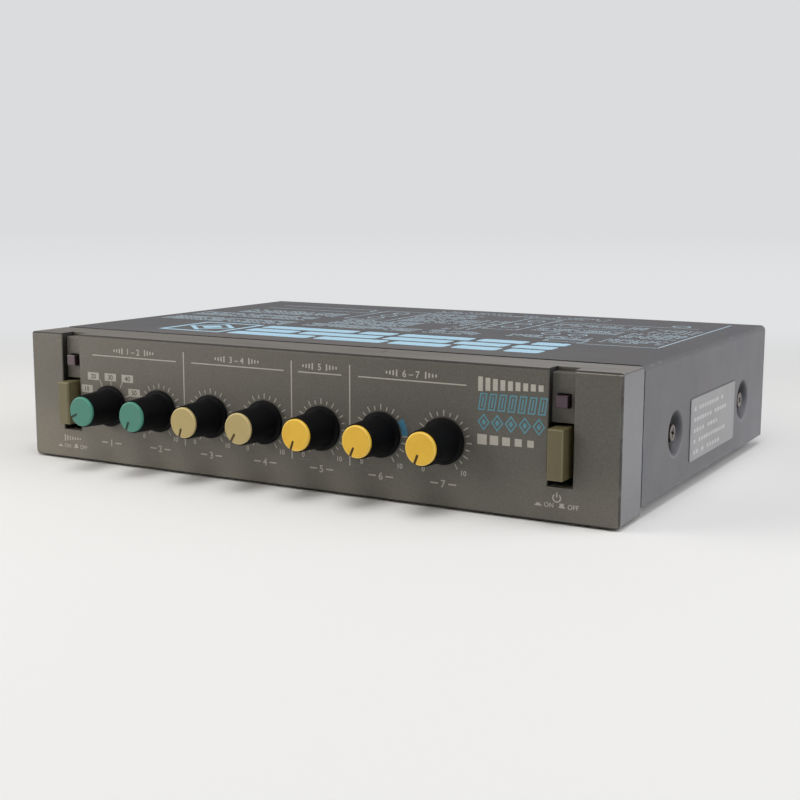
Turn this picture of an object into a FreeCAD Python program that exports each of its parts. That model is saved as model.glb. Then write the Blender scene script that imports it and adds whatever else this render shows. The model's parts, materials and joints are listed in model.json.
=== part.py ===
import FreeCAD, Part
import math
import os

os.makedirs("parts", exist_ok=True)
Vector = FreeCAD.Vector

# Half-rack audio unit, millimetres. While drawing, X is to the right, Y is the depth behind the
# bezel's front face and Z is the height above the table. The shift at the end centres the unit.

# Case
case_width = 218.0
case_top = 44.4
case_bottom = 3.4
case_rear = 151.4
sheet = 1.0
cover_bend = 1.8
cover_front = 17.1

# Front bezel
bezel_bottom = 0.5
bezel_top = 44.2
bezel_depth = 16.8
bezel_wall = 2.2
bezel_front_wall = 2.5
bezel_top_corner = 1.0
bezel_bottom_corner = 1.6
bezel_edge = 0.5
shaft_hole_radius = 4.0
hook_x = 101.0
hook_heights = (9.0, 36.0)

# Indicator channels in the bezel, one for each push button
channel_x = 91.0
channel_width = 7.7
channel_depth = 2.45
channel_bottom = 10.6
channel_floor_wall = 2.0
slot_top = 28.7
notch_depth = 6.0
notch_drop = 1.3
window_z = 35.0
window_size = 4.1
lens_size = 3.5
lens_front = 0.05

# Rotary controls
control_names = ("range", "time", "rate", "depth", "feedback", "tone", "level")
control_pitch = 21.3
first_control_x = -73.6
control_z = 20.5
pointer_angles = (-118.0, -156.0, -163.0, -149.0, -160.0, -156.0, -158.0)
knob_front_radius = 5.2
knob_base_radius = 6.2
skirt_radius = 7.0
skirt_thick = 1.2
knob_gap = 0.25
knob_length = 13.5
cap_radius = 4.9
cap_thick = 1.1
shaft_radius = 3.0
shaft_flat = 1.5
collar_half = 4.0
knob_sides = 32
shaft_sides = 24

# Push buttons
button_width = 4.7
button_bottom = 13.25
button_top = 27.85
button_proud = 4.3
button_rear = 6.0
plunger_width = 3.4
switch_front = 22.0
switch_rear = 40.0

# Sheet metal chassis
panel_front = 8.0
chassis_side = 105.6
flange_top = 32.0
panel_top = 41.8
rear_face = 149.9

# Cover screws in their drawn dimples
dimple_depths = (47.3, 123.0)
dimple_z = 20.4
dimple_mouth = 7.0
dimple_floor = 4.0
dimple_sink = 2.4

# Boards and what stands on them
board_bottom = 9.4
board_thick = 1.6
board_front = 11.0
board_rear = 146.0
board_half_width = 97.0
bridge_spots = ((-84.0, 58.0), (0.0, 58.0), (84.0, 58.0), (-62.0, 112.0), (62.0, 112.0))

# Rear sockets
jack_names = ("remote_jack", "mixed_output_jack", "direct_output_jack", "input_jack")
jack_spots = (-78.0, -46.0, -14.0, 18.0)
jack_z = 24.0
jack_bore = 3.25
jack_bushing = 4.75
jack_reach = 153.6
level_x = 50.0
level_z = 17.0
level_travel = 4.0
power_socket_x = 80.0
power_socket_z = 17.0

# Feet
foot_spots = ((-94.0, 30.0), (94.0, 30.0), (-94.0, 138.0), (94.0, 138.0))
foot_radius = 6.5
foot_sides = 32

# M3 pan-head screws of the cover
screw_radius = 1.45
screw_hole = 1.6
screw_head_radius = 2.8
screw_head_height = 1.5
screw_sides = 16
hole_sides = 12

board_top = board_bottom + board_thick
control_spots = [first_control_x + control_pitch * i for i in range(len(control_names))]
rear_reach = jack_reach
front_reach = knob_length + cap_thick
centre_shift = Vector(0, (front_reach - rear_reach) / 2, 0)


def save(name, shape):
    moved = shape.copy()
    moved.translate(centre_shift)
    moved.exportStep("parts/" + name + ".step")


def block(x0, x1, y0, y1, z0, z1):
    return Part.makeBox(x1 - x0, y1 - y0, z1 - z0, Vector(x0, y0, z0))


def round_y(radius, x, z, y0, y1):
    return Part.makeCylinder(radius, y1 - y0, Vector(x, y0, z), Vector(0, 1, 0))


def turned_y(profile, x, z, sides):
    """Turned form with narrow flat sides, from (radius, depth) points about the Y line through x, z."""
    rings = []
    for radius, depth in profile:
        turns = [2 * math.pi * i / sides for i in range(sides)]
        ring = [Vector(x + radius * math.sin(a), depth, z + radius * math.cos(a)) for a in turns]
        rings.append(ring + ring[:1])
    faces = [Part.Face(Part.makePolygon(rings[0])), Part.Face(Part.makePolygon(rings[-1]))]
    for near, far in zip(rings, rings[1:]):
        for i in range(sides):
            corners = [near[i], near[i + 1], far[i + 1], far[i], near[i]]
            faces.append(Part.Face(Part.makePolygon(corners)))
    solid = Part.Solid(Part.Shell(faces))
    if solid.Volume < 0:
        solid.reverse()
    return solid.removeSplitter()


def rod_y(radius, x, z, y0, y1, sides):
    return turned_y([(radius, y0), (radius, y1)], x, z, sides)


def inward(shape, side, sink, y):
    """Turns a form drawn along +Y so that it points into the case from a side wall."""
    shape.rotate(Vector(0, 0, 0), Vector(0, 0, 1), 90 * side)
    shape.translate(Vector(side * (case_width / 2 - sink), y, dimple_z))
    return shape


def hexagon_y(flats, x, z, y0, y1):
    reach = flats / math.sqrt(3)
    turns = [math.radians(30 + 60 * i) for i in range(7)]
    corners = [Vector(x + reach * math.sin(a), y0, z + reach * math.cos(a)) for a in turns]
    return Part.Face(Part.makePolygon(corners)).extrude(Vector(0, y1 - y0, 0))


def is_along(edge, direction):
    if not isinstance(edge.Curve, Part.Line):
        return False
    return abs(abs(edge.tangentAt(edge.FirstParameter).dot(direction)) - 1) < 1e-6


def edges_on(shape, axis, value):
    """Edges that lie whole in the plane where one coordinate has the value."""
    found = []
    for edge in shape.Edges:
        box = edge.BoundBox
        low = (box.XMin, box.YMin, box.ZMin)[axis]
        high = (box.XMax, box.YMax, box.ZMax)[axis]
        if abs(low - value) < 1e-4 and abs(high - value) < 1e-4:
            found.append(edge)
    return found


def joined(shapes):
    return shapes[0].multiFuse(shapes[1:]).removeSplitter() if len(shapes) > 1 else shapes[0]


def group(shapes):
    return Part.makeCompound(shapes)


# Front bezel: a hollow moulding with a stepped channel for each button and its lamp

def channel_cut(x):
    """The channel's side view: floor, bevelled lip, ledge and the notch through the top edge."""
    ledge = bezel_top - notch_drop
    side_view = [
        (-1.0, channel_bottom),
        (channel_depth, channel_bottom),
        (channel_depth, ledge - 0.2),
        (channel_depth + 0.2, ledge),
        (notch_depth, ledge),
        (notch_depth, bezel_top + 1.0),
        (-1.0, bezel_top + 1.0),
    ]
    left = x - channel_width / 2
    corners = [Vector(left, depth, height) for depth, height in side_view]
    face = Part.Face(Part.makePolygon(corners + corners[:1]))
    return face.extrude(Vector(channel_width, 0, 0))


def channel_housing(x):
    """Material behind the front wall that carries the sunken channel."""
    half = channel_width / 2 + 2.0
    back = channel_depth + channel_floor_wall
    floor_pad = block(x - half, x + half, 1.0, back, channel_bottom - 2.6, bezel_top - 1.0)
    lip_pad = block(x - half, x + half, 1.0, panel_front, bezel_top - 4.4, bezel_top - 1.0)
    return floor_pad.fuse(lip_pad)


def snap_hook(x, z):
    """Arm that reaches through the chassis panel and catches behind it."""
    panel_back = panel_front + sheet
    side_view = [
        (bezel_front_wall - 0.5, -0.8),
        (bezel_front_wall - 0.5, 0.8),
        (panel_back + 0.05, 0.8),
        (panel_back + 0.05, 1.5),
        (panel_back + 1.6, 0.3),
        (panel_back + 1.6, -0.8),
    ]
    corners = [Vector(x - 2.5, depth, z + height) for depth, height in side_view]
    return Part.Face(Part.makePolygon(corners + corners[:1])).extrude(Vector(5, 0, 0))


def bezel_outside():
    half = case_width / 2
    slab = block(-half, half, 0, bezel_depth, bezel_bottom, bezel_top)
    long_edges = [e for e in slab.Edges if is_along(e, Vector(0, 1, 0))]
    slab = slab.makeFillet(bezel_top_corner, [e for e in long_edges if e.BoundBox.ZMin > bezel_top - 1])
    long_edges = [e for e in slab.Edges if is_along(e, Vector(0, 1, 0))]
    slab = slab.makeFillet(bezel_bottom_corner, [e for e in long_edges if e.BoundBox.ZMax < bezel_bottom + 1])
    return slab.makeChamfer(bezel_edge, edges_on(slab, 1, 0.0))


def front_bezel():
    inner_half = case_width / 2 - bezel_wall
    pocket = block(-inner_half, inner_half, bezel_front_wall, bezel_depth + 1,
                   bezel_bottom + bezel_wall, bezel_top - bezel_wall)
    pieces = [bezel_outside().cut(pocket)]
    for x in (-channel_x, channel_x):
        pieces.append(channel_housing(x))
    for x in (-hook_x, hook_x):
        for z in hook_heights:
            pieces.append(snap_hook(x, z))
    for x in control_spots:
        rib_x = x + control_pitch / 2
        pieces.append(block(rib_x - 0.6, rib_x + 0.6, 2.0, 4.6, bezel_bottom + 1.0, bezel_top - 1.0))
    body = joined(pieces)
    cuts = []
    for x in (-channel_x, channel_x):
        slot_half = channel_width / 2 - 0.05
        window_half = window_size / 2
        cuts.append(channel_cut(x))
        cuts.append(block(x - slot_half, x + slot_half, 0, 7, channel_bottom, slot_top))
        cuts.append(block(x - window_half, x + window_half, 0, 7, window_z - window_half, window_z + window_half))
    for x in control_spots:
        cuts.append(rod_y(shaft_hole_radius, x, control_z, -1, bezel_front_wall + 1, shaft_sides))
    body = body.cut(group(cuts))
    return body.makeChamfer(0.25, channel_rim(body))


def channel_rim(body):
    """The long front edges of the two channels, softened as on the moulding."""
    rims = []
    for edge in edges_on(body, 1, 0.0):
        if is_along(edge, Vector(0, 0, 1)) and edge.Length > 20 and abs(edge.BoundBox.XMin) > 80:
            if abs(edge.BoundBox.XMin) < channel_x + channel_width:
                rims.append(edge)
    return rims


# Top cover: one sheet bent over the sides, with a drawn dimple for each screw

def dimple_hollow(side, y):
    """The cone that opens at the side face."""
    return Part.makeCone(dimple_mouth, dimple_floor, dimple_sink,
                         Vector(side * case_width / 2, y, dimple_z), Vector(-side, 0, 0))


def dimple_back(side, y):
    """The metal pushed inward behind the dimple."""
    return inward(turned_y([(dimple_mouth, 0), (dimple_floor, dimple_sink)], 0, 0, screw_sides), side, sheet, y)


def side_hole(side, y):
    """Way for a cover screw, from the dimple's floor to inside the chassis flange."""
    return inward(rod_y(screw_hole, 0, 0, 1, 6, hole_sides), side, 0, y)


def top_cover():
    half = case_width / 2
    outside = block(-half, half, cover_front, case_rear, case_bottom - 10, case_top)
    bends = [e for e in edges_on(outside, 2, case_top) if is_along(e, Vector(0, 1, 0))]
    outside = outside.makeFillet(cover_bend, bends)
    inside = block(-half + sheet, half - sheet, cover_front - 1, case_rear + 1, case_bottom - 11, case_top - sheet)
    bends = [e for e in edges_on(inside, 2, case_top - sheet) if is_along(e, Vector(0, 1, 0))]
    inside = inside.makeFillet(cover_bend - sheet, bends)
    cover = outside.cut(inside)
    cover = cover.cut(block(-half - 1, half + 1, 0, case_rear + 1, case_bottom - 20, case_bottom))
    spots = [(side, y) for side in (-1, 1) for y in dimple_depths]
    cover = joined([cover] + [dimple_back(side, y) for side, y in spots])
    for side, y in spots:
        cover = cover.cut(dimple_hollow(side, y)).cut(side_hole(side, y))
    return cover


# Bottom chassis: base, front panel behind the bezel, rear panel and low side flanges

def board_bridge(x, y):
    """Bridge pushed up out of the base sheet, for the board to stand on."""
    return block(x - 6, x + 6, y - 3, y + 3, case_bottom, board_bottom)


def bridge_opening(x, y):
    return block(x - 5, x + 5, y - 3, y + 3, case_bottom - 1, board_bottom - sheet)


def bent_sheet():
    """Base with the front panel, its top lip and the rear panel, as one bent strip."""
    top_lip = panel_front + 12.0
    strip = [
        (top_lip, panel_top),
        (panel_front, panel_top),
        (panel_front, case_bottom),
        (rear_face, case_bottom),
        (rear_face, case_top - sheet - 0.2),
        (rear_face - sheet, case_top - sheet - 0.2),
        (rear_face - sheet, case_bottom + sheet),
        (panel_front + sheet, case_bottom + sheet),
        (panel_front + sheet, panel_top - sheet),
        (top_lip, panel_top - sheet),
    ]
    half = chassis_side - sheet
    corners = [Vector(-half, depth, height) for depth, height in strip]
    body = Part.Face(Part.makePolygon(corners + corners[:1])).extrude(Vector(2 * half, 0, 0))
    outer_bends = [(panel_front, panel_top), (panel_front, case_bottom), (rear_face, case_bottom)]
    bends = []
    for edge in body.Edges:
        if is_along(edge, Vector(1, 0, 0)):
            box = edge.BoundBox
            if any(abs(box.YMin - y) < 1e-4 and abs(box.ZMin - z) < 1e-4 for y, z in outer_bends):
                bends.append(edge)
    return body.makeFillet(0.9, bends)


def bottom_chassis():
    cover_inside = case_width / 2 - sheet
    pieces = [bent_sheet()]
    for side in (-1, 1):
        inner = side * (chassis_side - sheet)
        outer = side * chassis_side
        x0, x1 = min(inner, outer), max(inner, outer)
        flange = block(x0, x1, 22, 147, case_bottom, flange_top)
        pieces.append(flange)
        wing_x = sorted((inner, side * (cover_inside - 0.4)))
        pieces.append(block(wing_x[0], wing_x[1], rear_face - sheet, rear_face, 5.0, case_top - sheet - 0.2))
    for x, y in bridge_spots:
        pieces.append(board_bridge(x, y))
    body = joined(pieces)
    wing_tips = [e for e in body.Edges if is_along(e, Vector(0, 1, 0)) and e.BoundBox.ZMin > 42.9
                 and abs(e.BoundBox.XMin) > chassis_side]
    body = body.makeChamfer(1.0, wing_tips)
    cuts = [bridge_opening(x, y) for x, y in bridge_spots]
    collar_gap = collar_half + 0.1
    for x in control_spots:
        cuts.append(block(x - collar_gap, x + collar_gap, 5, 12, control_z - collar_gap, control_z + collar_gap))
    for x in (-channel_x, channel_x):
        cuts.append(block(x - 5, x + 5, 5, 12, channel_bottom - 0.2, window_z + 3.5))
    for x in (-hook_x, hook_x):
        for z in hook_heights:
            cuts.append(block(x - 3, x + 3, 5, 12, z - 1.2, z + 1.0))
    for x in jack_spots:
        cuts.append(rod_y(jack_bushing + 0.1, x, jack_z, 145, 155, shaft_sides))
    x, z = power_socket_x, power_socket_z
    cuts.append(block(x - 4.7, x + 4.7, 145, 155, board_top - 0.2, z + 5.1))
    cuts.append(block(level_x - 4.3, level_x + 4.3, 145, 155, level_z - 1.8, level_z + 1.8))
    for side in (-1, 1):
        for y in dimple_depths:
            cuts.append(side_hole(side, y))
    return body.cut(group(cuts))


# Rotary controls

def knob_body(x):
    """Tapered black grip with a thin skirt and a keyed bore for the shaft."""
    back = -knob_gap
    skirt_front = back - skirt_thick
    profile = [
        (knob_front_radius, -knob_length),
        (knob_base_radius, skirt_front),
        (skirt_radius, skirt_front + 0.1),
        (skirt_radius, back),
    ]
    return turned_y(profile, x, control_z, knob_sides).cut(keyed_rod(x, 0.02, -10.4, back + 1))


def keyed_rod(x, clearance, y0, y1):
    """A rod with one flat along its top, as on a D shaft."""
    radius = shaft_radius + clearance
    rod = rod_y(radius, x, control_z, y0, y1, shaft_sides)
    return rod.cut(block(x - 5, x + 5, y0 - 1, y1 + 1, control_z + shaft_flat + clearance, control_z + 9))


def knob_cap(x, angle):
    """Coloured disc with a bevelled rim and the pointer groove out to the rim."""
    front = -knob_length - cap_thick
    profile = [
        (cap_radius - 0.3, front),
        (cap_radius, front + 0.3),
        (cap_radius, -knob_length),
    ]
    groove = block(x - 0.33, x + 0.33, front - 1, front + 0.4, control_z + 2.1, control_z + 7)
    groove.rotate(Vector(x, 0, control_z), Vector(0, 1, 0), angle)
    return turned_y(profile, x, control_z, knob_sides).cut(groove)


def control_shaft(x):
    return keyed_rod(x, 0, -10.2, 12.3)


def control_body(x, size, rear):
    """Potentiometer or rotary switch: housing, square collar through the panel, and three pins."""
    half = size / 2
    panel_back = panel_front + sheet
    collar_front = panel_front - 1.4
    pieces = [
        block(x - half, x + half, panel_back, rear, control_z - half, control_z + half),
        block(x - collar_half, x + collar_half, collar_front, panel_back + 1,
              control_z - collar_half, control_z + collar_half),
    ]
    for offset in (-5.0, 0.0, 5.0):
        pin_y = rear - 1.6
        pieces.append(block(x + offset - 0.5, x + offset + 0.5, pin_y, pin_y + 0.5, board_top, control_z - half + 0.5))
    return joined(pieces).cut(rod_y(shaft_radius + 0.06, x, control_z, 0, 12.5, shaft_sides))


# Push buttons with their latching switches

def push_button(x):
    """Moulded cap, bevelled all round its face, with a square socket for the plunger."""
    half = button_width / 2
    shell = block(x - half, x + half, -button_proud, button_rear, button_bottom, button_top)
    shell = shell.makeChamfer(0.45, edges_on(shell, 1, -button_proud))
    middle = (button_bottom + button_top) / 2
    grip = plunger_width / 2 + 0.02
    socket = block(x - grip, x + grip, 0, button_rear + 1, middle - grip, middle + grip)
    relief_half = half - 0.7
    upper = block(x - relief_half, x + relief_half, -2, button_rear + 1, middle + grip + 0.8, button_top - 0.9)
    lower = block(x - relief_half, x + relief_half, -2, button_rear + 1, button_bottom + 0.9, middle - grip - 0.8)
    return shell.cut(socket.fuse(upper).fuse(lower))


def switch_plunger(x):
    half = plunger_width / 2
    middle = (button_bottom + button_top) / 2
    stem = block(x - half, x + half, 0.02, 31.0, middle - half, middle + half)
    return stem.makeChamfer(0.3, edges_on(stem, 1, 31.0))


def latching_switch(x):
    """Switch can on the board, with the square way that its plunger runs in."""
    middle = (button_bottom + button_top) / 2
    half = plunger_width / 2 + 0.08
    can = block(x - 4.5, x + 4.5, switch_front, switch_rear, board_top, middle + 6)
    return can.cut(block(x - half, x + half, 0, 36.0, middle - half, middle + half))


def lamp_lens(x):
    half = lens_size / 2
    back = channel_depth + channel_floor_wall
    window = block(x - half, x + half, lens_front, back + 0.5, window_z - half, window_z + half)
    window = window.makeChamfer(0.2, edges_on(window, 1, lens_front))
    flange = block(x - 2.9, x + 2.9, back, back + 1.0, window_z - 2.9, window_z + 2.9)
    return joined([window, flange])


def lamp(x):
    """Small square lamp behind its lens, on two leads that come down beside the plunger."""
    lead_y = 12.0
    pieces = [
        block(x - 1.5, x + 1.5, 5.8, 9.5, window_z - 1.5, window_z + 1.5),
        block(x - 3.2, x + 3.2, 9.0, 10.0, window_z - 1.5, window_z + 1.5),
    ]
    for side in (-1, 1):
        near, far = sorted((x + side * 2.5, x + side * 3.0))
        pieces.append(block(near, far, 9.9, lead_y + 0.5, window_z - 0.25, window_z + 0.25))
        pieces.append(block(near, far, lead_y, lead_y + 0.5, board_top, window_z + 0.25))
    return joined(pieces)


# Board and what it carries

def main_board():
    return block(-board_half_width, board_half_width, board_front, board_rear, board_bottom, board_top)


def memory_chips():
    chips = []
    for y in (76.0, 92.0):
        for x in (-66.0, -38.0, -10.0):
            chips.append(block(x - 11.4, x + 11.4, y - 3.2, y + 3.2, board_top, board_top + 3.6))
    return group(chips)


def control_chip():
    return block(36, 74, 78, 92, board_top, board_top + 4.2)


def filter_capacitors():
    """Box capacitors in two rows in front of the sockets."""
    cans = []
    for x in (-84.0, -70.0, 50.0, 64.0):
        cans.append(block(x - 3.6, x + 3.6, 98, 102, board_top, board_top + 9))
    return group(cans)


# Rear sockets and the level switch

def socket_jack(x):
    """Quarter inch jack: moulded body on the board, bushing through the panel and an open bore."""
    inner_face = rear_face - sheet
    body = block(x - 8, x + 8, 126, inner_face, board_top, jack_z + 9)
    bushing = rod_y(jack_bushing, x, jack_z, inner_face - 1, jack_reach, shaft_sides)
    return joined([body, bushing]).cut(round_y(jack_bore, x, jack_z, 129, jack_reach + 1))


def jack_nut(x):
    nut = hexagon_y(12.7, x, jack_z, rear_face, rear_face + 2.4)
    return nut.cut(rod_y(jack_bushing + 0.02, x, jack_z, 145, 155, shaft_sides))


def power_socket():
    """Barrel socket with its centre pin, its face in a window of the rear panel."""
    x, z = power_socket_x, power_socket_z
    face = rear_face + 0.6
    body = block(x - 4.6, x + 4.6, 136, face, board_top, z + 5)
    body = body.cut(round_y(2.85, x, z, 140.5, face + 1))
    return joined([body, rod_y(1.05, x, z, 139.5, rear_face, hole_sides)])


def level_switch():
    x, z = level_x, level_z
    body = block(x - 7, x + 7, 141.5, rear_face - sheet, board_top, z + 4.5)
    return body.cut(block(x - 5.2, x + 5.2, 144.6, 150, z - 1.6, z + 1.6))


def level_lever():
    """Slider foot inside the switch and the stub that stands out of the rear panel."""
    x = level_x - level_travel / 2
    z = level_z
    foot = block(x - 3.0, x + 3.0, 144.8, 147.6, z - 1.5, z + 1.5)
    stub = block(x - 1.4, x + 1.4, 147.0, 152.6, z - 1.3, z + 1.3)
    stub = stub.makeChamfer(0.3, edges_on(stub, 1, 152.6))
    return joined([foot, stub])


# Fasteners and feet

def cover_screw(side, y):
    """Pan-head screw with a cross recess, its head on the dimple's floor."""
    head = turned_y([
        (screw_head_radius * 0.8, -screw_head_height),
        (screw_head_radius, -screw_head_height * 0.7),
        (screw_head_radius, 0),
    ], 0, 0, screw_sides)
    screw = head.fuse(rod_y(screw_radius, 0, 0, -0.5, 6, hole_sides))
    for half_x, half_z in ((1.4, 0.3), (0.3, 1.4)):
        screw = screw.cut(block(-half_x, half_x, -9, 0.9 - screw_head_height, -half_z, half_z))
    return inward(screw, side, dimple_sink, y)


def cover_screws():
    return group([cover_screw(side, y) for side in (-1, 1) for y in dimple_depths])


def rubber_feet():
    feet = []
    for x, y in foot_spots:
        foot = turned_y([(foot_radius - 0.8, 0), (foot_radius, case_bottom)], 0, 0, foot_sides)
        foot.rotate(Vector(0, 0, 0), Vector(1, 0, 0), 90)
        foot.translate(Vector(x, y, 0))
        feet.append(foot)
    return group(feet)


save("front_bezel", front_bezel())
save("top_cover", top_cover())
save("bottom_chassis", bottom_chassis())
for name, x, angle in zip(control_names, control_spots, pointer_angles):
    save(name + "_knob", knob_body(x))
    save(name + "_knob_cap", knob_cap(x, angle))
    save(name + "_shaft", control_shaft(x))
save("range_switch", control_body(control_spots[0], 17.6, 18.5))
for name, x in zip(control_names[1:], control_spots[1:]):
    save(name + "_potentiometer", control_body(x, 16.0, 15.6))
for name, x in (("effect", -channel_x), ("power", channel_x)):
    save(name + "_button", push_button(x))
    save(name + "_switch_plunger", switch_plunger(x))
    save(name + "_switch", latching_switch(x))
    save(name + "_lamp_lens", lamp_lens(x))
    save(name + "_lamp", lamp(x))
save("main_board", main_board())
save("memory_chips", memory_chips())
save("control_chip", control_chip())
save("filter_capacitors", filter_capacitors())
for name, x in zip(jack_names, jack_spots):
    save(name, socket_jack(x))
save("jack_nuts", group([jack_nut(x) for x in jack_spots]))
save("power_socket", power_socket())
save("level_switch", level_switch())
save("level_switch_lever", level_lever())
save("cover_screws", cover_screws())
save("rubber_feet", rubber_feet())
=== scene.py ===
import json
import math

import bmesh
import bpy
from mathutils import Matrix, Vector


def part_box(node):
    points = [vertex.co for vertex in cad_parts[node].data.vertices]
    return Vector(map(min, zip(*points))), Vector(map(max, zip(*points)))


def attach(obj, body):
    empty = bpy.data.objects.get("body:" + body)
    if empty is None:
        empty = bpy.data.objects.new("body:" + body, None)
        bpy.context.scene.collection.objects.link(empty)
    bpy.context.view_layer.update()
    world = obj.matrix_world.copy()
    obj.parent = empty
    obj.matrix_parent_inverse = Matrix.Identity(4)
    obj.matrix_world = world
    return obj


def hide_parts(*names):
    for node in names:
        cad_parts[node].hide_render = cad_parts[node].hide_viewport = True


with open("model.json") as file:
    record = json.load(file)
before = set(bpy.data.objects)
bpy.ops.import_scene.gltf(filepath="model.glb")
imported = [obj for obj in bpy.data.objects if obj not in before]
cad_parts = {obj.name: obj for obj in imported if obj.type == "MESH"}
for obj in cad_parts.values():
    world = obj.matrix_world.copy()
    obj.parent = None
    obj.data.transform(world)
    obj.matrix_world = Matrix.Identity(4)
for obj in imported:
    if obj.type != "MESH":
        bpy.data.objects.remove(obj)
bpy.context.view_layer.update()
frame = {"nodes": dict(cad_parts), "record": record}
nodes = frame["nodes"]
mm = 0.001
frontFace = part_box("front_bezel")[0].y  # the bezel's front face, from which depths are counted
print("frame loaded")


# Node graphs: a value takes Python's maths, and one method adds any node

def mathsOf(operation):
    return lambda value, *others: value.graph.maths(operation, value, *others)


class Value:
    __add__ = __radd__ = mathsOf("ADD")
    __sub__ = mathsOf("SUBTRACT")
    __mul__ = __rmul__ = mathsOf("MULTIPLY")
    __truediv__ = mathsOf("DIVIDE")
    __mod__ = mathsOf("MODULO")
    __pow__ = mathsOf("POWER")
    __abs__ = mathsOf("ABSOLUTE")
    lower = mathsOf("MINIMUM")
    higher = mathsOf("MAXIMUM")

    def __init__(self, graph, socket):
        self.graph = graph
        self.socket = socket

    def __rsub__(self, other):
        return self.graph.maths("SUBTRACT", other, self)

    def ease(self, start, end):  # 0 at start, 1 at end, smooth between
        low, high = sorted((start, end))
        eased = self.graph.value(0, "ShaderNodeMapRange", {"interpolation_type": "SMOOTHSTEP"},
                                 {"Value": self, "From Min": low, "From Max": high})
        return eased if start < end else 1 - eased


class Graph:
    def __init__(self, tree):
        self.tree = tree

    def feed(self, socket, value):
        if isinstance(value, Value):
            value = value.socket
        if isinstance(value, bpy.types.NodeSocket):
            self.tree.links.new(value, socket)
        else:
            socket.default_value = value

    def add(self, kind, settings=None, inputs=None):
        node = self.tree.nodes.new(kind)
        for key, value in (settings or {}).items():
            setattr(node, key, value)
        for key, value in (inputs or {}).items():
            self.feed(node.inputs[key], value)
        return node

    def value(self, output, *node):
        return Value(self, self.add(*node).outputs[output])

    def maths(self, operation, *terms):
        return self.value(0, "ShaderNodeMath", {"operation": operation}, dict(enumerate(terms)))

    def vector(self, x, y, z):
        return self.value(0, "ShaderNodeCombineXYZ", {}, {0: x, 1: y, 2: z})

    def blend(self, factor, first, second):
        settings = {"data_type": "RGBA", "clamp_factor": True}
        return self.value(2, "ShaderNodeMix", settings, {0: factor, 6: first, 7: second})


def screen(red, green, blue):  # a colour as it is seen on a screen, 0 to 255, made linear
    parts = [part / 255 for part in (red, green, blue)]
    return (*(part / 12.92 if part < 0.04045 else ((part + 0.055) / 1.055) ** 2.4 for part in parts), 1.0)


class Finish(Graph):  # its colour starts as the look's base, and each layer is laid over what is there
    def __init__(self, name, look, **fixed):
        self.material = bpy.data.materials.new(name)
        self.material.use_nodes = True
        super().__init__(self.material.node_tree)
        self.tree.nodes.clear()
        self.shader = self.add("ShaderNodeBsdfPrincipled")
        self.output = self.add("ShaderNodeOutputMaterial", {}, {"Surface": self.shader.outputs[0]})
        self.spot = self.value("Object", "ShaderNodeTexCoord")
        split = self.add("ShaderNodeSeparateXYZ", {}, {0: self.spot})
        self.x, self.y, self.z = (Value(self, socket) for socket in split.outputs)
        self.look = look
        self.colour = self.tone("base")
        self.set(**fixed)

    def tone(self, name):
        return screen(*self.look[name])

    def layer(self, factor, colour):
        if isinstance(colour, str):
            colour = self.tone(colour)
        self.colour = self.blend(factor, self.colour, colour)

    def noise(self, size, detail=2.0, rough=0.5, stretch=None):  # size of a speck in millimetres
        spot = self.spot
        if stretch:
            spot = self.value(0, "ShaderNodeMapping", {}, {"Vector": spot, "Scale": stretch})
        inputs = {"Vector": spot, "Scale": 1000 / size, "Detail": detail, "Roughness": rough}
        return self.value(0, "ShaderNodeTexNoise", {}, inputs)

    def streaks(self, size, stretch):  # short straight lines, the peaks of a stretched noise
        return self.noise(size, 1.0, 0.5, stretch).ease(0.68, 0.78)

    def edgeDistance(self, low, high):  # metres to the nearest edge of a box
        first, second, third = (abs(part - start).lower(abs(part - end))
                                for part, start, end in zip((self.x, self.y, self.z), low, high))
        return first.lower(second).higher(first.higher(second).lower(third))

    def set(self, **values):
        for socket, value in values.items():
            self.feed(self.shader.inputs[socket.replace("_", " ")], value)
        return self

    def close(self, roughness, height, depth, strength):  # depth of the relief in millimetres
        relief = {"Height": height, "Distance": depth * mm, "Strength": strength}
        return self.set(Base_Color=self.colour, Roughness=roughness,
                        Normal=self.value(0, "ShaderNodeBump", {}, relief))


# Finishes: places and distances in metres, and a share from 0 to 1 for each layer

channel = {"middle": 91.0, "half": 3.85, "slotHalf": 3.8}
# Many of these tones are painted light and shade, each marked where it is laid.
bezelLook = {
    "base": (111, 107, 98), "cloud": (116, 112, 103), "right": (89, 86, 80), "high": (78, 76, 71),
    "low": (132, 128, 117), "lowLeft": (142, 134, 118), "top": (128, 123, 118), "topRight": (152, 150, 147),
    "topStreaks": (92, 88, 84), "side": (134, 135, 139), "sideLow": (120, 121, 124),
    "sideHigh": (124, 125, 129), "paleGrain": (132, 128, 118), "darkGrain": (82, 79, 71),
    "lip": (34, 32, 29), "corner": (50, 47, 46), "worn": (150, 148, 142), "rubbed": (176, 168, 158),
    "under": (32, 30, 28), "channel": (20, 20, 19), "nick": (52, 50, 47), "nickX": 27.8,
    "nickDepth": 11.2, "grain": 0.35, "roughness": 0.5}


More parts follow.
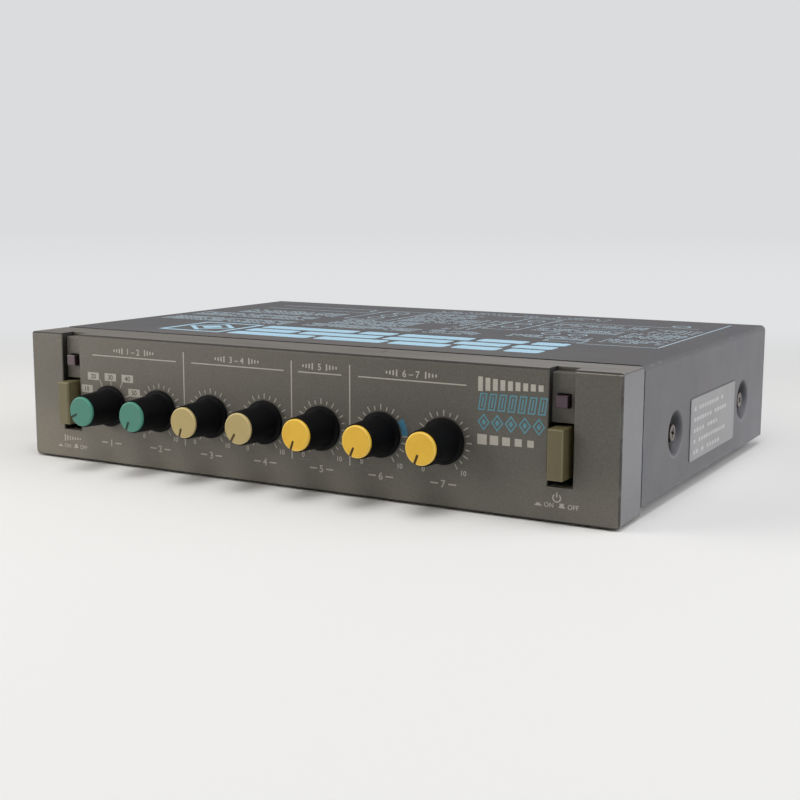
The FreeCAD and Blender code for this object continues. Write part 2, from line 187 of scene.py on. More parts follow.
def makeBezelFinish():
    look = bezelLook
    finish = Finish("bezelMoulding", look)
    low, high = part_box("front_bezel")
    x, z, depth, drop = finish.x, finish.z, finish.y - low.y, finish.z - high.z
    grain = finish.noise(look["grain"], 2.0, 0.6)
    finish.layer(finish.noise(30, 3.0).ease(0.35, 0.75), "cloud")
    # painted shade: the front darker towards the right, away from the light on the left
    finish.layer(x.ease(-0.075, 0.06) * 0.85, "right")
    # painted shade on the upper front, and painted light from the floor on the lower front and lower left
    finish.layer(z.ease(0.014, 0.038) * 0.22, "high")
    finish.layer(z.ease(0.02, 0.004) * 0.3, "low")
    finish.layer(z.ease(0.026, 0.008) * x.ease(-0.08, -0.1) * 0.35, "lowLeft")
    # the top face as lit from above: painted light, paler towards the right
    above = drop.ease(-0.0004, -0.0001)
    paintedLightTopTone = finish.blend(x.ease(0.02, 0.09) * 0.8, finish.tone("top"), finish.tone("topRight"))
    finish.layer(above * 0.9, paintedLightTopTone)
    streaks = finish.noise(1.6, 3.0, 0.6, (0.06, 1.0, 1.0))
    finish.layer(above * streaks.ease(0.45, 0.75) * 0.5, "topStreaks")
    # the outer sides as lit from the right: painted light, with painted shade towards the bottom and the top
    sides = finish.blend(z.ease(0.02, 0.002) * 0.7, finish.tone("side"), finish.tone("sideLow"))
    sides = finish.blend(z.ease(0.032, 0.044) * 0.5, sides, finish.tone("sideHigh"))
    finish.layer(abs(x).ease(0.1088, 0.10895) * 0.9, sides)
    finish.layer(grain.ease(0.4, 0.75) * 0.22, "paleGrain")
    finish.layer(grain.ease(0.6, 0.25) * 0.3, "darkGrain")
    lip = depth.ease(0.0006, 0.0004) * drop.ease(-0.00062, -0.00045)
    finish.layer(lip * 0.9, "lip")
    # painted shade down the front's right edge
    finish.layer(depth.ease(0.00062, 0.0004) * x.ease(0.1083, 0.1085) * 0.75, "corner")
    wear = finish.edgeDistance(low, high).ease(0.0011, 0.0006) * (1 - lip)
    wear = wear * finish.noise(6, 4.0, 0.6).ease(0.5, 0.6)
    finish.layer(wear * 0.16, "worn")
    # a pale broken line along the front's top edge, right of the right channel
    rubbed = drop.ease(-0.00085, -0.00066) * (1 - lip) * depth.ease(0.0004, 0.0002)
    rubbed = rubbed * x.ease(0.093, 0.096) * finish.noise(3, 3.0, 0.6).ease(0.34, 0.46)
    finish.layer(rubbed * 0.85, "rubbed")
    scratch = finish.streaks(0.7, (0.06, 1.0, 1.0)) * finish.noise(24).ease(0.5, 0.66)
    finish.layer(scratch * 0.2, "worn")
    # painted shade along the bottom of the front
    finish.layer((z - low.z).ease(0.0007, 0.0004) * depth.ease(0.001, 0.0006) * 0.85, "under")
    inside = depth.ease(0.0001, 0.0006) * depth.ease(0.0064, 0.0062) * z.ease(0.0102, 0.0108)
    for side in (-1, 1):  # the channels' left walls, darkened with painted shade
        wall = (side * channel["middle"] - channel["half"]) * mm
        finish.layer(abs(x - wall).ease(0.00024, 0.00008) * inside * 0.93, "channel")
    nickX, nickDepth = x - look["nickX"] * mm, depth - look["nickDepth"] * mm
    nick = abs(nickX * 0.988 + nickDepth * 0.157).ease(0.0004, 0.00015) * abs(nickDepth).ease(0.0036, 0.0026)
    finish.layer(nick * above * 0.7, "nick")
    return finish.close(look["roughness"] + finish.noise(9, 3.0) * 0.14 - wear * 0.1, grain, 0.05, 0.35)


cover = {"half": 109.0, "top": 44.4, "bottom": 3.4, "front": 17.35, "rear": 151.4, "bend": 1.8, "sheet": 1.0,
         "topCells": 12, "bendCells": 8, "dimples": (47.3, 123.0)}
dimple = {"height": 20.4, "mouth": 7.0, "floor": 4.0, "sink": 2.4, "hole": 1.6, "patch": 10.0,
          "cells": 16}  # the patch is the square of the side round it
# Several of these tones are painted light and shade, each marked where it is laid.
coverLook = {
    "base": (99, 98, 100), "cloud": (103, 102, 104), "warm": (107, 101, 97), "cool": (93, 98, 106),
    "paleSpecks": (124, 123, 124), "darkSpecks": (74, 73, 76), "rear": (110, 109, 113),
    "worn": (160, 160, 162), "frontTop": (115, 112, 109), "lowRear": (122, 121, 125),
    "dimple": (42, 46, 56), "shade": (9, 9, 11), "lit": (142, 143, 148), "cutEdge": (26, 26, 27),
    "roughness": 0.42}


def fromScrews(finish):  # how far a spot of the sides lies behind, above and in all from its nearer screw
    near, far = cover["dimples"]
    half = (far - near) / 2 * mm
    back = (finish.y - (frontFace + near * mm - half)) % (2 * half) - half
    up = finish.z - dimple["height"] * mm
    return back, up, (back * back + up * up) ** 0.5


def makeCoverFinish():
    look = coverLook
    finish = Finish("coverPaint", look, Specular_IOR_Level=0.35)
    finish.layer(finish.noise(45, 3.0).ease(0.3, 0.75), "cloud")
    finish.layer(finish.noise(26).ease(0.48, 0.68) * 0.4, "warm")
    finish.layer(finish.noise(19, 3.0).ease(0.5, 0.7) * 0.4, "cool")
    finish.layer(finish.noise(0.5, 2.0, 0.6).ease(0.5, 0.75) * 0.3, "paleSpecks")
    finish.layer(finish.noise(0.6, 2.0, 0.6).ease(0.5, 0.25) * 0.3, "darkSpecks")
    # painted light: the cover paler towards the rear
    finish.layer(finish.y.ease(-0.03, 0.09) * 0.6, "rear")
    chips = finish.edgeDistance(*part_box("top_cover")).ease(0.0012, 0.0004)
    finish.layer(chips * finish.noise(5, 4.0, 0.6).ease(0.56, 0.62) * 0.25, "worn")
    scuffs = finish.streaks(0.8, (1.0, 0.05, 1.0)) * finish.noise(40).ease(0.5, 0.66)
    finish.layer(scuffs * 0.14, "worn")
    # a painted reflection on the middle of the top, near its front
    frontTop = finish.z.ease(0.0441, 0.0443) * finish.y.ease(-0.02, -0.045) * abs(finish.x).ease(0.1, 0.05)
    finish.layer(frontTop * 0.6, "frontTop")
    # painted light on the lower rear of the sides
    finish.layer(finish.y.ease(0.03, 0.08) * finish.z.ease(0.03, 0.005) * 0.5, "lowRear")
    # painted shade in the side dimples, deepest at the top and near black round the screws, and a painted
    # highlight on the lower edge of each mouth
    back, up, nearest = fromScrews(finish)
    onSide = abs(finish.x).ease(0.1045, 0.1055)
    above = 0.6 + up.ease(-0.0049, 0.0031) * 0.4
    finish.layer(nearest.ease(0.0073, 0.0057) * above * onSide * 0.92, "dimple")
    shade = (nearest + back * 0.25 - up * 0.2).ease(0.0071, 0.0048) * nearest.ease(0.0073, 0.0068)
    finish.layer(shade * onSide, "shade")
    lit = abs(nearest - 0.0074).ease(0.0005, 0.0001) * up.ease(-0.001, -0.005)
    finish.layer(lit * onSide * 0.45, "lit")
    # the sheet's front edge, in the joint with the bezel, made near black
    finish.layer((finish.y - (frontFace + cover["front"] * mm)).ease(0.00022, 0.0001) * 0.9, "cutEdge")
    rough = look["roughness"] + finish.noise(12, 3.0) * 0.16 + scuffs * 0.1
    return finish.close(rough, finish.noise(0.9, 2.0, 0.55), 0.06, 0.3)


def makeMouldingFinish(name, base, paler, roughness, grain, depth):
    finish = Finish(name, {"base": base, "paler": paler})
    speck = finish.noise(grain)
    finish.layer(finish.noise(7, 3.0).ease(0.35, 0.75) * 0.7, "paler")
    finish.layer(speck.ease(0.62, 0.8) * 0.3, "paler")
    return finish.close(roughness - 0.05 + finish.noise(3, 3.0) * 0.12, speck, depth, 0.4)


capShape = {"front": -14.6, "radius": 4.9, "bevel": 0.4, "groove": 0.85, "start": 1.8, "depth": 0.35}


def makeCapFinish(name, base, rim, grime):
    finish = Finish(name, {"base": base, "rim": rim, "grime": grime})
    finish.layer(finish.noise(5, 3.0).ease(0.35, 0.7) * 0.5, "grime")
    sideways = finish.streaks(0.5, (0.15, 1.0, 1.0)) * finish.noise(6).ease(0.5, 0.65)
    finish.layer(sideways * 0.2, "rim")
    # a painted highlight round the cap's front bevel
    edge = frontFace + (capShape["front"] + 0.1) * mm
    face = finish.y.ease(edge, edge - 0.08 * mm)
    finish.layer(abs(finish.y - edge).ease(0.00035, 0.0001) * (1 - face) * 0.75, "rim")
    return finish.close(0.36 + finish.noise(2.5, 3.0) * 0.16, finish.noise(0.5), 0.012, 0.4)


def makeMetalFinish(name, base, darker, roughness, size, stretch=(1.0, 1.0, 1.0)):
    finish = Finish(name, {"base": base, "darker": darker}, Metallic=1.0)
    lines = finish.noise(size, 3.0, 0.6, stretch)
    cloud = finish.noise(9, 3.0)
    finish.layer(lines.ease(0.3, 0.7) * 0.5, "darker")
    finish.layer(cloud.ease(0.5, 0.8) * 0.4, "darker")
    return finish.close(roughness - 0.06 + lines * 0.1 + cloud * 0.08, lines, 0.01, 0.35)


def makeScrewFinish():  # bright on the flat of the head, with painted shade in its recess and round its side
    finish = makeMetalFinish("zincScrew", (154, 147, 140), (92, 88, 84), 0.5, 0.5)
    nearest = fromScrews(finish)[2]
    recess = abs(finish.x).ease(0.10798, 0.10788) * nearest.ease(0.0019, 0.0017)
    finish.layer(nearest.ease(0.0024, 0.0027).higher(recess) * 0.95, screen(16, 15, 15))
    return finish.set(Base_Color=finish.colour)


def makeLampFinish():  # a red moulding on dull tinned leads
    finish = makeMouldingFinish("lampPlastic", (158, 40, 40), (176, 60, 58), 0.25, 0.6, 0.01)
    lead = (finish.y - frontFace).ease(0.0094, 0.0098).higher(finish.z.ease(0.0334, 0.0332))
    finish.layer(lead, screen(92, 92, 92))
    return finish.set(Base_Color=finish.colour, Metallic=lead * 0.8)


powerPin = {"x": 80.0, "height": 17.0, "inner": 1.1, "outer": 1.3}


def makePowerSocketFinish():  # a black moulding with a plated pin in its middle
    finish = makeMouldingFinish("powerSocket", (30, 30, 31), (42, 42, 42), 0.45, 0.6, 0.02)
    across, up = finish.x - powerPin["x"] * mm, finish.z - powerPin["height"] * mm
    pin = ((across ** 2 + up ** 2) ** 0.5).ease(powerPin["outer"] * mm, powerPin["inner"] * mm)
    finish.layer(pin, screen(206, 204, 198))
    return finish.set(Base_Color=finish.colour, Metallic=pin)


def makeInkFinish(name, base, worn, roughness=0.55):
    finish = Finish(name, {"base": base, "worn": worn})
    patch = finish.noise(1.1, 4.0, 0.7).ease(0.5, 0.78)
    finish.layer(patch * 0.4, "worn")
    return finish.close(roughness + patch * 0.1, finish.noise(0.35), 0.01, 0.3)


# the right tone is painted shade and the rim tone a painted highlight
buttonLook = {"base": (104, 96, 66), "cloud": (110, 103, 75), "right": (82, 74, 44), "face": (122, 115, 86),
              "rim": (140, 133, 102), "grime": (70, 64, 44), "roughness": 0.46}


def makeButtonFinish():
    finish = Finish("buttonPlastic", buttonLook)
    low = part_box("power_button")[0]
    depth = finish.y - low.y
    cloud = finish.noise(6, 3.0)
    finish.layer(cloud.ease(0.3, 0.75) * 0.6, "cloud")
    # painted shade: the button on the right darker, away from the light on the left
    finish.layer(finish.x.ease(-0.05, 0.05) * 0.55, "right")
    face = depth.ease(0.00018, 0.00005)
    finish.layer(face * 0.3, "face")
    # a painted highlight on the chamfer round the face
    finish.layer(depth.ease(0.0006, 0.0004) * (1 - face) * 0.5, "rim")
    grime = finish.noise(3.2, 4.0, 0.7).ease(0.52, 0.75) * (finish.z - low.z).ease(0.006, 0.0)
    finish.layer(grime * 0.5, "grime")
    return finish.close(buttonLook["roughness"] + cloud * 0.12, finish.noise(0.35), 0.02, 0.35)


# the right and edge tones are painted shade
lensLook = {"base": (76, 58, 66), "paler": (92, 72, 80), "right": (58, 36, 50), "edge": (30, 10, 22),
            "roughness": 0.32}


def makeLensFinish():
    finish = Finish("lensPlastic", lensLook, Coat_Weight=0.4, Coat_Roughness=0.25, IOR=1.5)
    depths = finish.noise(1.6)
    finish.layer(depths.ease(0.3, 0.7), "paler")
    # painted shade: the lens on the right darker, away from the light on the left
    finish.layer(finish.x.ease(-0.05, 0.05) * 0.75, "right")
    # painted shade: the lens's sides near black, all but its front face
    face = (finish.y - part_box("power_lamp_lens")[0].y).ease(0.0004, 0.00015)
    finish.colour = finish.blend(face, finish.tone("edge"), finish.colour)
    ribs = finish.noise(0.5, 1.0, 0.5, (1.0, 1.0, 3.0))
    return finish.close(lensLook["roughness"] + depths * 0.1, ribs, 0.03, 0.4)


plate = {"near": 61.4, "far": 111.5, "low": 8.7, "high": 28.9, "thick": 0.3, "corner": 1.0}
# the rim tone is a painted shadow along the plate's edges
plateLook = {"base": (162, 161, 162), "cloud": (150, 150, 151), "marks": (130, 130, 131), "rim": (92, 92, 94),
             "roughness": 0.4}


def makePlateFinish():
    finish = Finish("barePlate", plateLook, Metallic=0.55)
    grain = finish.noise(0.5, 3.0, 0.6, (1.0, 0.25, 2.0))
    finish.layer(finish.noise(14, 3.0).ease(0.3, 0.75) * 0.6, "cloud")
    marks = finish.streaks(0.6, (1.0, 0.08, 1.0)) * finish.noise(9).ease(0.45, 0.6)
    finish.layer(marks * 0.4, "marks")
    # painted shadow: a dark line along the plate's top and near edges
    topEdgeShadow = (finish.z - plate["high"] * mm).ease(-0.0004, -0.0002)
    nearEdgeShadow = (finish.y - (frontFace + plate["near"] * mm)).ease(0.0004, 0.0002)
    finish.layer(topEdgeShadow.higher(nearEdgeShadow) * 0.6, "rim")
    return finish.close(plateLook["roughness"] + grain * 0.15, grain, 0.01, 0.3)


mouldings = {  # colour, paler specks, roughness, grain and its depth
    "knob_plastic": ((5, 6, 8), (10, 11, 15), 0.55, 0.5, 0.012),
    "socket_plastic": ((30, 30, 31), (42, 42, 42), 0.45, 0.6, 0.02),
    "board_laminate": ((40, 104, 66), (58, 128, 84), 0.4, 1.2, 0.02),
    "chip_plastic": ((32, 32, 33), (46, 46, 46), 0.5, 0.4, 0.02),
    "capacitor_case": ((36, 76, 128), (52, 92, 142), 0.35, 0.6, 0.02),
    "plunger_plastic": ((214, 212, 202), (224, 222, 214), 0.4, 0.6, 0.02),
    "foot_rubber": ((34, 34, 34), (52, 51, 50), 0.75, 0.5, 0.05),
}
metals = {  # colour, darker streaks, roughness, size and stretch of the streaks
    "chassis_sheet": ((190, 190, 187), (166, 166, 163), 0.44, 0.35, (0.03, 1.0, 1.0)),
    "shaft_steel": ((200, 200, 200), (160, 160, 160), 0.3, 0.6, (1.0, 0.2, 1.0)),
    "control_housing": ((190, 191, 193), (160, 160, 163), 0.4, 1.2),
    "plated_nut": ((214, 214, 210), (170, 168, 160), 0.26, 0.6, (1.0, 0.5, 1.0)),
}
caps = {  # cap, rim (its scratches and the painted highlight on the bevel), grime, pointer and worn pointer
    "cap_teal": ((66, 133, 116), (84, 164, 138), (74, 126, 112), (38, 58, 52), (52, 74, 66)),
    "cap_beige": ((182, 163, 107), (220, 202, 150), (176, 156, 100), (78, 62, 34), (96, 80, 48)),
    "cap_yellow": ((235, 188, 54), (255, 220, 110), (228, 176, 46), (66, 46, 16), (88, 64, 24)),
}
inkTones = {
    "frontPrint": ((181, 177, 167), (144, 140, 130)),
    "labelInk": ((70, 68, 60), (96, 92, 82)),
    "tealPrint": ((87, 142, 155), (80, 114, 122)),
    "arcPrint": ((64, 126, 154), (60, 108, 130)),
    "bandPrint": ((184, 224, 246), (150, 190, 214), 0.5),
    "palePrint": ((182, 204, 217), (132, 150, 164), 0.5),
    "plateInk": ((186, 186, 186), (168, 168, 169), 0.5),
    "rearInk": ((44, 44, 46), (84, 84, 84), 0.5),
}


def joinedName(slot):
    first, second = slot.split("_")
    return first + second.capitalize()


slotFinishes = {"bezel_moulding": makeBezelFinish(), "cover_paint": makeCoverFinish(),
                "button_plastic": makeButtonFinish(), "lens_plastic": makeLensFinish(),
                "zinc_screw": makeScrewFinish(), "lamp_plastic": makeLampFinish()}
for make, looks in ((makeMouldingFinish, mouldings), (makeMetalFinish, metals)):
    for slot, look in looks.items():
        slotFinishes[slot] = make(joinedName(slot), *look)
slotFinishes["knob_plastic"].set(Specular_IOR_Level=0.14)
slotFinishes["switch_housing"] = slotFinishes["control_housing"]
pointerFinishes = {}
for slot, look in caps.items():
    slotFinishes[slot] = makeCapFinish(joinedName(slot), *look[:3])
    pointerFinishes[slot] = makeInkFinish("pointer" + slot[4:].capitalize(), *look[3:])
inks = {name: makeInkFinish(name, *look) for name, look in inkTones.items()}
slotOf = {part["node"]: part["material_slot"] for part in frame["record"]["subparts"]}
for nodeName, node in nodes.items():
    for materialSlot in node.material_slots:
        materialSlot.material = slotFinishes[slotOf[nodeName]].material
print("finishes made")


# Making pieces: millimetres, x to the right, depth behind the bezel's face, height over the table

def at(x, depth, height):
    return Vector((x * mm, frontFace + depth * mm, height * mm))


def linked(name, data):
    thing = bpy.data.objects.new(name, data)
    bpy.context.scene.collection.objects.link(thing)
    return thing


def meshFrom(points, faces):
    mesh = bpy.data.meshes.new("mesh")
    mesh.from_pydata(points, [], faces)
    mesh.update()
    return mesh


def outward(mesh):
    form = bmesh.new()
    form.from_mesh(mesh)
    bmesh.ops.remove_doubles(form, verts=form.verts, dist=1e-6)
    bmesh.ops.recalc_face_normals(form, faces=form.faces)
    form.to_mesh(mesh)
    form.free()
    return mesh


def evaluated(data, *modifiers):  # the plain mesh that data becomes with its modifiers
    carrier = linked("carrier", data)
    for kind, settings in modifiers:
        modifier = carrier.modifiers.new(kind, kind)
        for key, value in settings.items():
            if hasattr(modifier, key):
                setattr(modifier, key, value)
            else:  # a geometry tree's input, by its identifier
                modifier[key] = value
    bpy.context.view_layer.update()
    depsgraph = bpy.context.evaluated_depsgraph_get()
    result = bpy.data.meshes.new_from_object(carrier.evaluated_get(depsgraph))
    carrier.modifiers.clear()
    bpy.data.objects.remove(carrier)
    return result


def carved(body, cutter, operation="DIFFERENCE"):
    tool = linked("cutter", cutter)
    mesh = evaluated(body, ("BOOLEAN", {"object": tool, "operation": operation, "solver": "EXACT"}))
    bpy.data.objects.remove(tool)
    return mesh


def beveled(mesh, width, segments, angle, *before):  # on edges sharper than the angle
    bevel = {"width": width * mm, "segments": segments, "limit_method": "ANGLE",
             "angle_limit": math.radians(angle)}
    return evaluated(mesh, *before, ("BEVEL", bevel))


def addPiece(name, mesh, slot, body="housing", replaces=(), finish=None, sharp=35):
    mesh.materials.clear()
    mesh.materials.append((finish or slotFinishes[slot]).material)
    mesh.shade_smooth()
    mesh.set_sharp_from_angle(angle=math.radians(sharp))
    piece = linked(name, evaluated(mesh, ("WEIGHTED_NORMAL", {"keep_sharp": True})))
    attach(piece, body)
    if replaces:
        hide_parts(*replaces)


def joinedMesh(meshes):
    form = bmesh.new()
    for mesh in meshes:
        form.from_mesh(mesh)
    result = bpy.data.meshes.new("joined")
    form.to_mesh(result)
    form.free()
    return result


def filleted(corners, steps=4):  # (a, b, radius) corners to points, each corner with a radius rounded off
    points = []
    for index, corner in enumerate(corners):
        here = Vector(corner[:2])
        radius = corner[2] if len(corner) > 2 else 0
        if not radius or index in (0, len(corners) - 1):
            points.append(here)
            continue
        before = (Vector(corners[index - 1][:2]) - here).normalized()
        after = (Vector(corners[index + 1][:2]) - here).normalized()
        half = before.angle(after) / 2
        reach = radius / math.tan(half)
        start, end = here + before * reach, here + after * reach
        centre = here + (before + after).normalized() * (radius / math.sin(half))
        for step in range(steps + 1):
            part = start.lerp(end, step / steps) - centre
            points.append(centre + part.normalized() * radius)
    return points


def roundedBox(x0, y0, x1, y1, radius):  # drawn from the middle of its lower side
    middle = ((x0 + x1) / 2, y0)
    corners = [(x, y, radius) for x, y in ((x1, y0), (x1, y1), (x0, y1), (x0, y0))]
    return filleted([middle, *corners, middle])[:-1]


def spun(profile, place, segments=64, steps=4):  # (radius, level, fillet) corners turned round an axis
    points, rings = [], []
    for radius, level in filleted(profile, steps):
        if radius < 1e-6:
            rings.append([len(points)] * segments)
            points.append(place(0, 0, level))
            continue
        rings.append(list(range(len(points), len(points) + segments)))
        for i in range(segments):
            turn = 2 * math.pi * i / segments
            points.append(place(radius * math.sin(turn), radius * math.cos(turn), level))
    faces = []
    for near, far in zip(rings, rings[1:]):
        for i in range(segments):
            j = (i + 1) % segments
            face = list(dict.fromkeys((near[i], near[j], far[j], far[i])))
            if len(face) > 2:
                faces.append(face)
    return outward(meshFrom(points, faces))


def prism(outline, low, high, place):  # a flat outline given thickness between two levels
    count = len(outline)
    points = [place(a, b, level) for level in (low, high) for a, b in outline]
    faces = [tuple(range(count)), tuple(range(2 * count - 1, count - 1, -1))]
    for i in range(count):
        j = (i + 1) % count
        faces.append((i, i + count, j + count, j))
    return outward(meshFrom(points, faces))


def softened(nodeName, width, tidy=None):  # a CAD node's form with its sharp edges rounded
    form = bmesh.new()
    form.from_mesh(nodes[nodeName].data)
    for vertex in form.verts if tidy else ():
        vertex.co = tidy(vertex.co)
    bmesh.ops.remove_doubles(form, verts=form.verts, dist=2e-6)
    bmesh.ops.dissolve_limit(form, angle_limit=math.radians(0.5), verts=form.verts, edges=form.edges)
    form.verts.index_update()
    points = [vertex.co.copy() for vertex in form.verts]
    mesh = meshFrom(points, [[vertex.index for vertex in face.verts] for face in form.faces])
    form.free()
    return beveled(mesh, width, 3, 30)


# Geometry trees

class Growth(Graph):
    def __init__(self, name, floats, **others):
        super().__init__(bpy.data.node_groups.new(name, "GeometryNodeTree"))
        sockets = self.tree.interface
        sockets.new_socket("Geometry", in_out="OUTPUT", socket_type="NodeSocketGeometry")
        for label, kind in {**dict.fromkeys(floats, "Float"), **others}.items():
            sockets.new_socket(label, in_out="INPUT", socket_type="NodeSocket" + kind)
        self.entry = self.add("NodeGroupInput")
        self.exit = self.add("NodeGroupOutput")

    def given(self, *labels):
        values = [Value(self, self.entry.outputs[label]) for label in labels]
        return values if len(labels) > 1 else values[0]

    def line(self, count, **more):
        return self.value(0, "GeometryNodeMeshLine", {}, {"Count": count, **more})

    def spread(self, count, spot):  # points, each at the spot that its index gives
        inputs = {"Geometry": self.line(count), "Position": spot}
        return self.value(0, "GeometryNodeSetPosition", {}, inputs)

    def onPoints(self, points, instance, turn=(0.0, 0.0, 0.0), scale=(1.0, 1.0, 1.0)):
        inputs = {"Points": points, "Instance": instance, "Rotation": turn, "Scale": scale}
        return self.value(0, "GeometryNodeInstanceOnPoints", {}, inputs)

    def close(self, geometry, finish):
        whole = self.value(0, "GeometryNodeRealizeInstances", {}, {0: geometry})
        inputs = {"Geometry": whole, "Material": finish.material}
        self.feed(self.exit.inputs[0], self.value(0, "GeometryNodeSetMaterial", {}, inputs))

    def grow(self, values):
        settings = {"node_group": self.tree}
        for item in self.tree.interface.items_tree:
            if item.in_out == "INPUT" and item.name in values:
                settings[item.identifier] = values[item.name]
        return evaluated(bpy.data.meshes.new("start"), ("NODES", settings))


def repeated(name, form, slot, spots, values, turns=None):  # a form set on four points
    growth = Growth(name, values, Form="Object")
    index = growth.value(0, "GeometryNodeInputIndex")
    points = growth.spread(4, spots(growth, index))
    source = growth.value("Geometry", "GeometryNodeObjectInfo", {}, {"Object": growth.given("Form")})
    turn = turns(growth, index) if turns else (0.0, 0.0, 0.0)
    growth.close(growth.onPoints(points, source, turn), slotFinishes[slot])
    carrier = linked("form", form)
    mesh = growth.grow({"Form": carrier, **values})
    bpy.data.objects.remove(carrier)
    return mesh


def cornerSpots(growth, index):  # left and right, near and far
    side, near, far, height = growth.given("Side", "Near", "Far", "Height")
    back = growth.maths("FLOOR", index * 0.5)
    return growth.vector(side * (index % 2 * 2 - 1), near + (far - near) * back, height)


# Knobs and caps

controls = {"names": ("range", "time", "rate", "depth", "feedback", "tone", "level"),
            "firstX": -73.6, "pitch": 21.3, "height": 20.5,
            "pointers": (-118, -156, -163, -149, -160, -156, -158)}
knobShape = {"front": -13.5, "frontRadius": 5.3, "baseRadius": 5.85, "skirt": 7.0, "skirtFront": -1.45,
             "back": -0.25}


def onDial(x, angle):  # places shapes with their b axis along a dial angle of the control at x
    across, up = math.sin(math.radians(angle)), math.cos(math.radians(angle))
    return lambda a, b, level: at(x + a * up + b * across, level, controls["height"] + b * up - a * across)


def gripMesh(x, front, frontRadius, baseRadius, skirt, skirtFront, back):
    return spun([
        (0, back),
        (skirt, back, 0.12),
        (skirt, skirtFront + 0.12, 0.3),
        (baseRadius + 0.08, skirtFront, 0.3),
        (frontRadius, front, 0.12),
        (0, front),
    ], onDial(x, 0), 96)


def capMesh(x, angle, front, radius, bevel, groove, start, depth):
    back, half = knobShape["front"], groove / 2
    body = spun([
        (0, front),
        (radius - bevel, front, 0.15),
        (radius, front + bevel, 0.15),
        (radius, back - 0.05, 0.05),
        (radius - 0.15, back),
        (0, back),
    ], onDial(x, 0), 96)
    outline = filleted([(-half, 6), (-half, start, half * 0.9), (half, start, half * 0.9), (half, 6)])
    return carved(body, prism(outline, front - 1, front + depth, onDial(x, angle)))


def pointerMesh(x, angle):  # an inlay at the bottom of the groove
    half, end = capShape["groove"] / 2 - 0.02, capShape["radius"] - 0.06
    start, bottom = capShape["start"], capShape["front"] + capShape["depth"]
    outline = [(-half, start + 0.2), (-half / 2, start + 0.06), (half / 2, start + 0.06), (half, start + 0.2),
               (half, end), (-half, end)]
    return prism(outline, bottom - 0.06, bottom + 0.05, onDial(x, angle))


controlX = [controls["firstX"] + controls["pitch"] * i for i in range(len(controls["names"]))]
for name, x, angle in zip(controls["names"], controlX, controls["pointers"]):
    body = name + "_control"
    addPiece(name + "_grip", gripMesh(x, **knobShape), "knob_plastic", body, [name + "_knob"])
    capSlot = slotOf[name + "_knob_cap"]
    addPiece(name + "_cap", capMesh(x, angle, **capShape), capSlot, body, [name + "_knob_cap"])
    addPiece(name + "_pointer", pointerMesh(x, angle), capSlot, body,
             finish=pointerFinishes[capSlot])
print("knobs made")


# Bezel, buttons and lenses: the CAD forms with softened edges

def slotFlush(point):  # the slots' sides and the channels' sides drawn into one plane
    for side in (-1, 1):
        for edge in (-1, 1):
            middle = side * channel["middle"]
            if abs(point.x - (middle + edge * channel["slotHalf"]) * mm) < 0.02 * mm:
                return Vector(((middle + edge * channel["half"]) * mm, point.y, point.z))
    return point


addPiece("bezel", softened("front_bezel", 0.12, slotFlush), "bezel_moulding", replaces=["front_bezel"])
for name in ("effect", "power"):
    addPiece(name + "_push_cap", softened(name + "_button", 0.08), "button_plastic", name + "_push",
             [name + "_button"])
    addPiece(name + "_window", softened(name + "_lamp_lens", 0.1), "lens_plastic",
             replaces=[name + "_lamp_lens"])
print("bezel and buttons made")


# Top cover: one bent sheet with smooth drawn dimples

def dimpleRings(centre, height, mouth, floor, sink, hole, patch, cells):  # (depth, height, sink)
    rim = []
    for side in range(4):
        for step in range(cells):
            along = -1 + 2 * step / cells
            rim.append(((1, along), (-along, 1), (-1, -along), (along, -1))[side])
    profile = filleted([(hole, sink), (floor, sink, 0.9), (mouth, 0.0, 1.5), (patch - 1.2, 0.0)], 6)
    rings = [[(centre + radius * a / math.hypot(a, b), height + radius * b / math.hypot(a, b), level)
              for a, b in rim] for radius, level in profile]
    return rings + [[(centre + patch * a, height + patch * b, 0.0) for a, b in rim]]


def coverMesh(half, top, bottom, front, rear, bend, sheet, topCells, bendCells, dimples):
    patch, cells, height = dimple["patch"], dimple["cells"], dimple["height"]
    flatHalf, straightTop = half - bend, top - bend
    points, faces = [], []

    def quad(*corners):
        faces.append(tuple(range(len(points), len(points) + 4)))
        points.extend(corners)

    def marks(start, end, centres):
        cell = 2 * patch / cells
        return [start] + [centre - patch + cell * i for centre in centres for i in range(cells + 1)] + [end]

    depths, heights = marks(front, rear, dimples), marks(bottom, straightTop, [height])
    turns = [math.pi / 2 * i / bendCells for i in range(bendCells + 1)]
    arc = [(flatHalf + bend * math.cos(turn), straightTop + bend * math.sin(turn)) for turn in turns]
    flat = [(flatHalf * (1 - 2 * i / topCells), top) for i in range(1, topCells)]
    section = arc + flat + [(-x, z) for x, z in reversed(arc)]
    for y0, y1 in zip(depths, depths[1:]):
        for (x0, z0), (x1, z1) in zip(section, section[1:]):
            quad(at(x0, y0, z0), at(x0, y1, z0), at(x1, y1, z1), at(x1, y0, z1))
    for side in (-half, half):
        for y0, y1 in zip(depths, depths[1:]):
            besideDimple = any(abs((y0 + y1) / 2 - centre) < patch for centre in dimples)
            for z0, z1 in zip(heights, heights[1:]):
                if not besideDimple or abs((z0 + z1) / 2 - height) > patch:
                    quad(at(side, y0, z0), at(side, y1, z0), at(side, y1, z1), at(side, y0, z1))
        for centre in dimples:
            rings = dimpleRings(centre, **dimple)
            for near, far in zip(rings, rings[1:]):
                for i in range(4 * cells):
                    j = (i + 1) % (4 * cells)
                    corners = (near[i], near[j], far[j], far[i])
                    quad(*(at(math.copysign(half - sink, side), y, z) for y, z, sink in corners))
    mesh = outward(meshFrom(points, faces))
    if max(mesh.polygons, key=lambda face: face.center.z).normal.z < 0:
        mesh.flip_normals()
    solid = {"thickness": sheet * mm, "offset": -1.0, "use_even_offset": True, "use_rim": True}
    return beveled(mesh, 0.15, 2, 60, ("SOLIDIFY", solid))


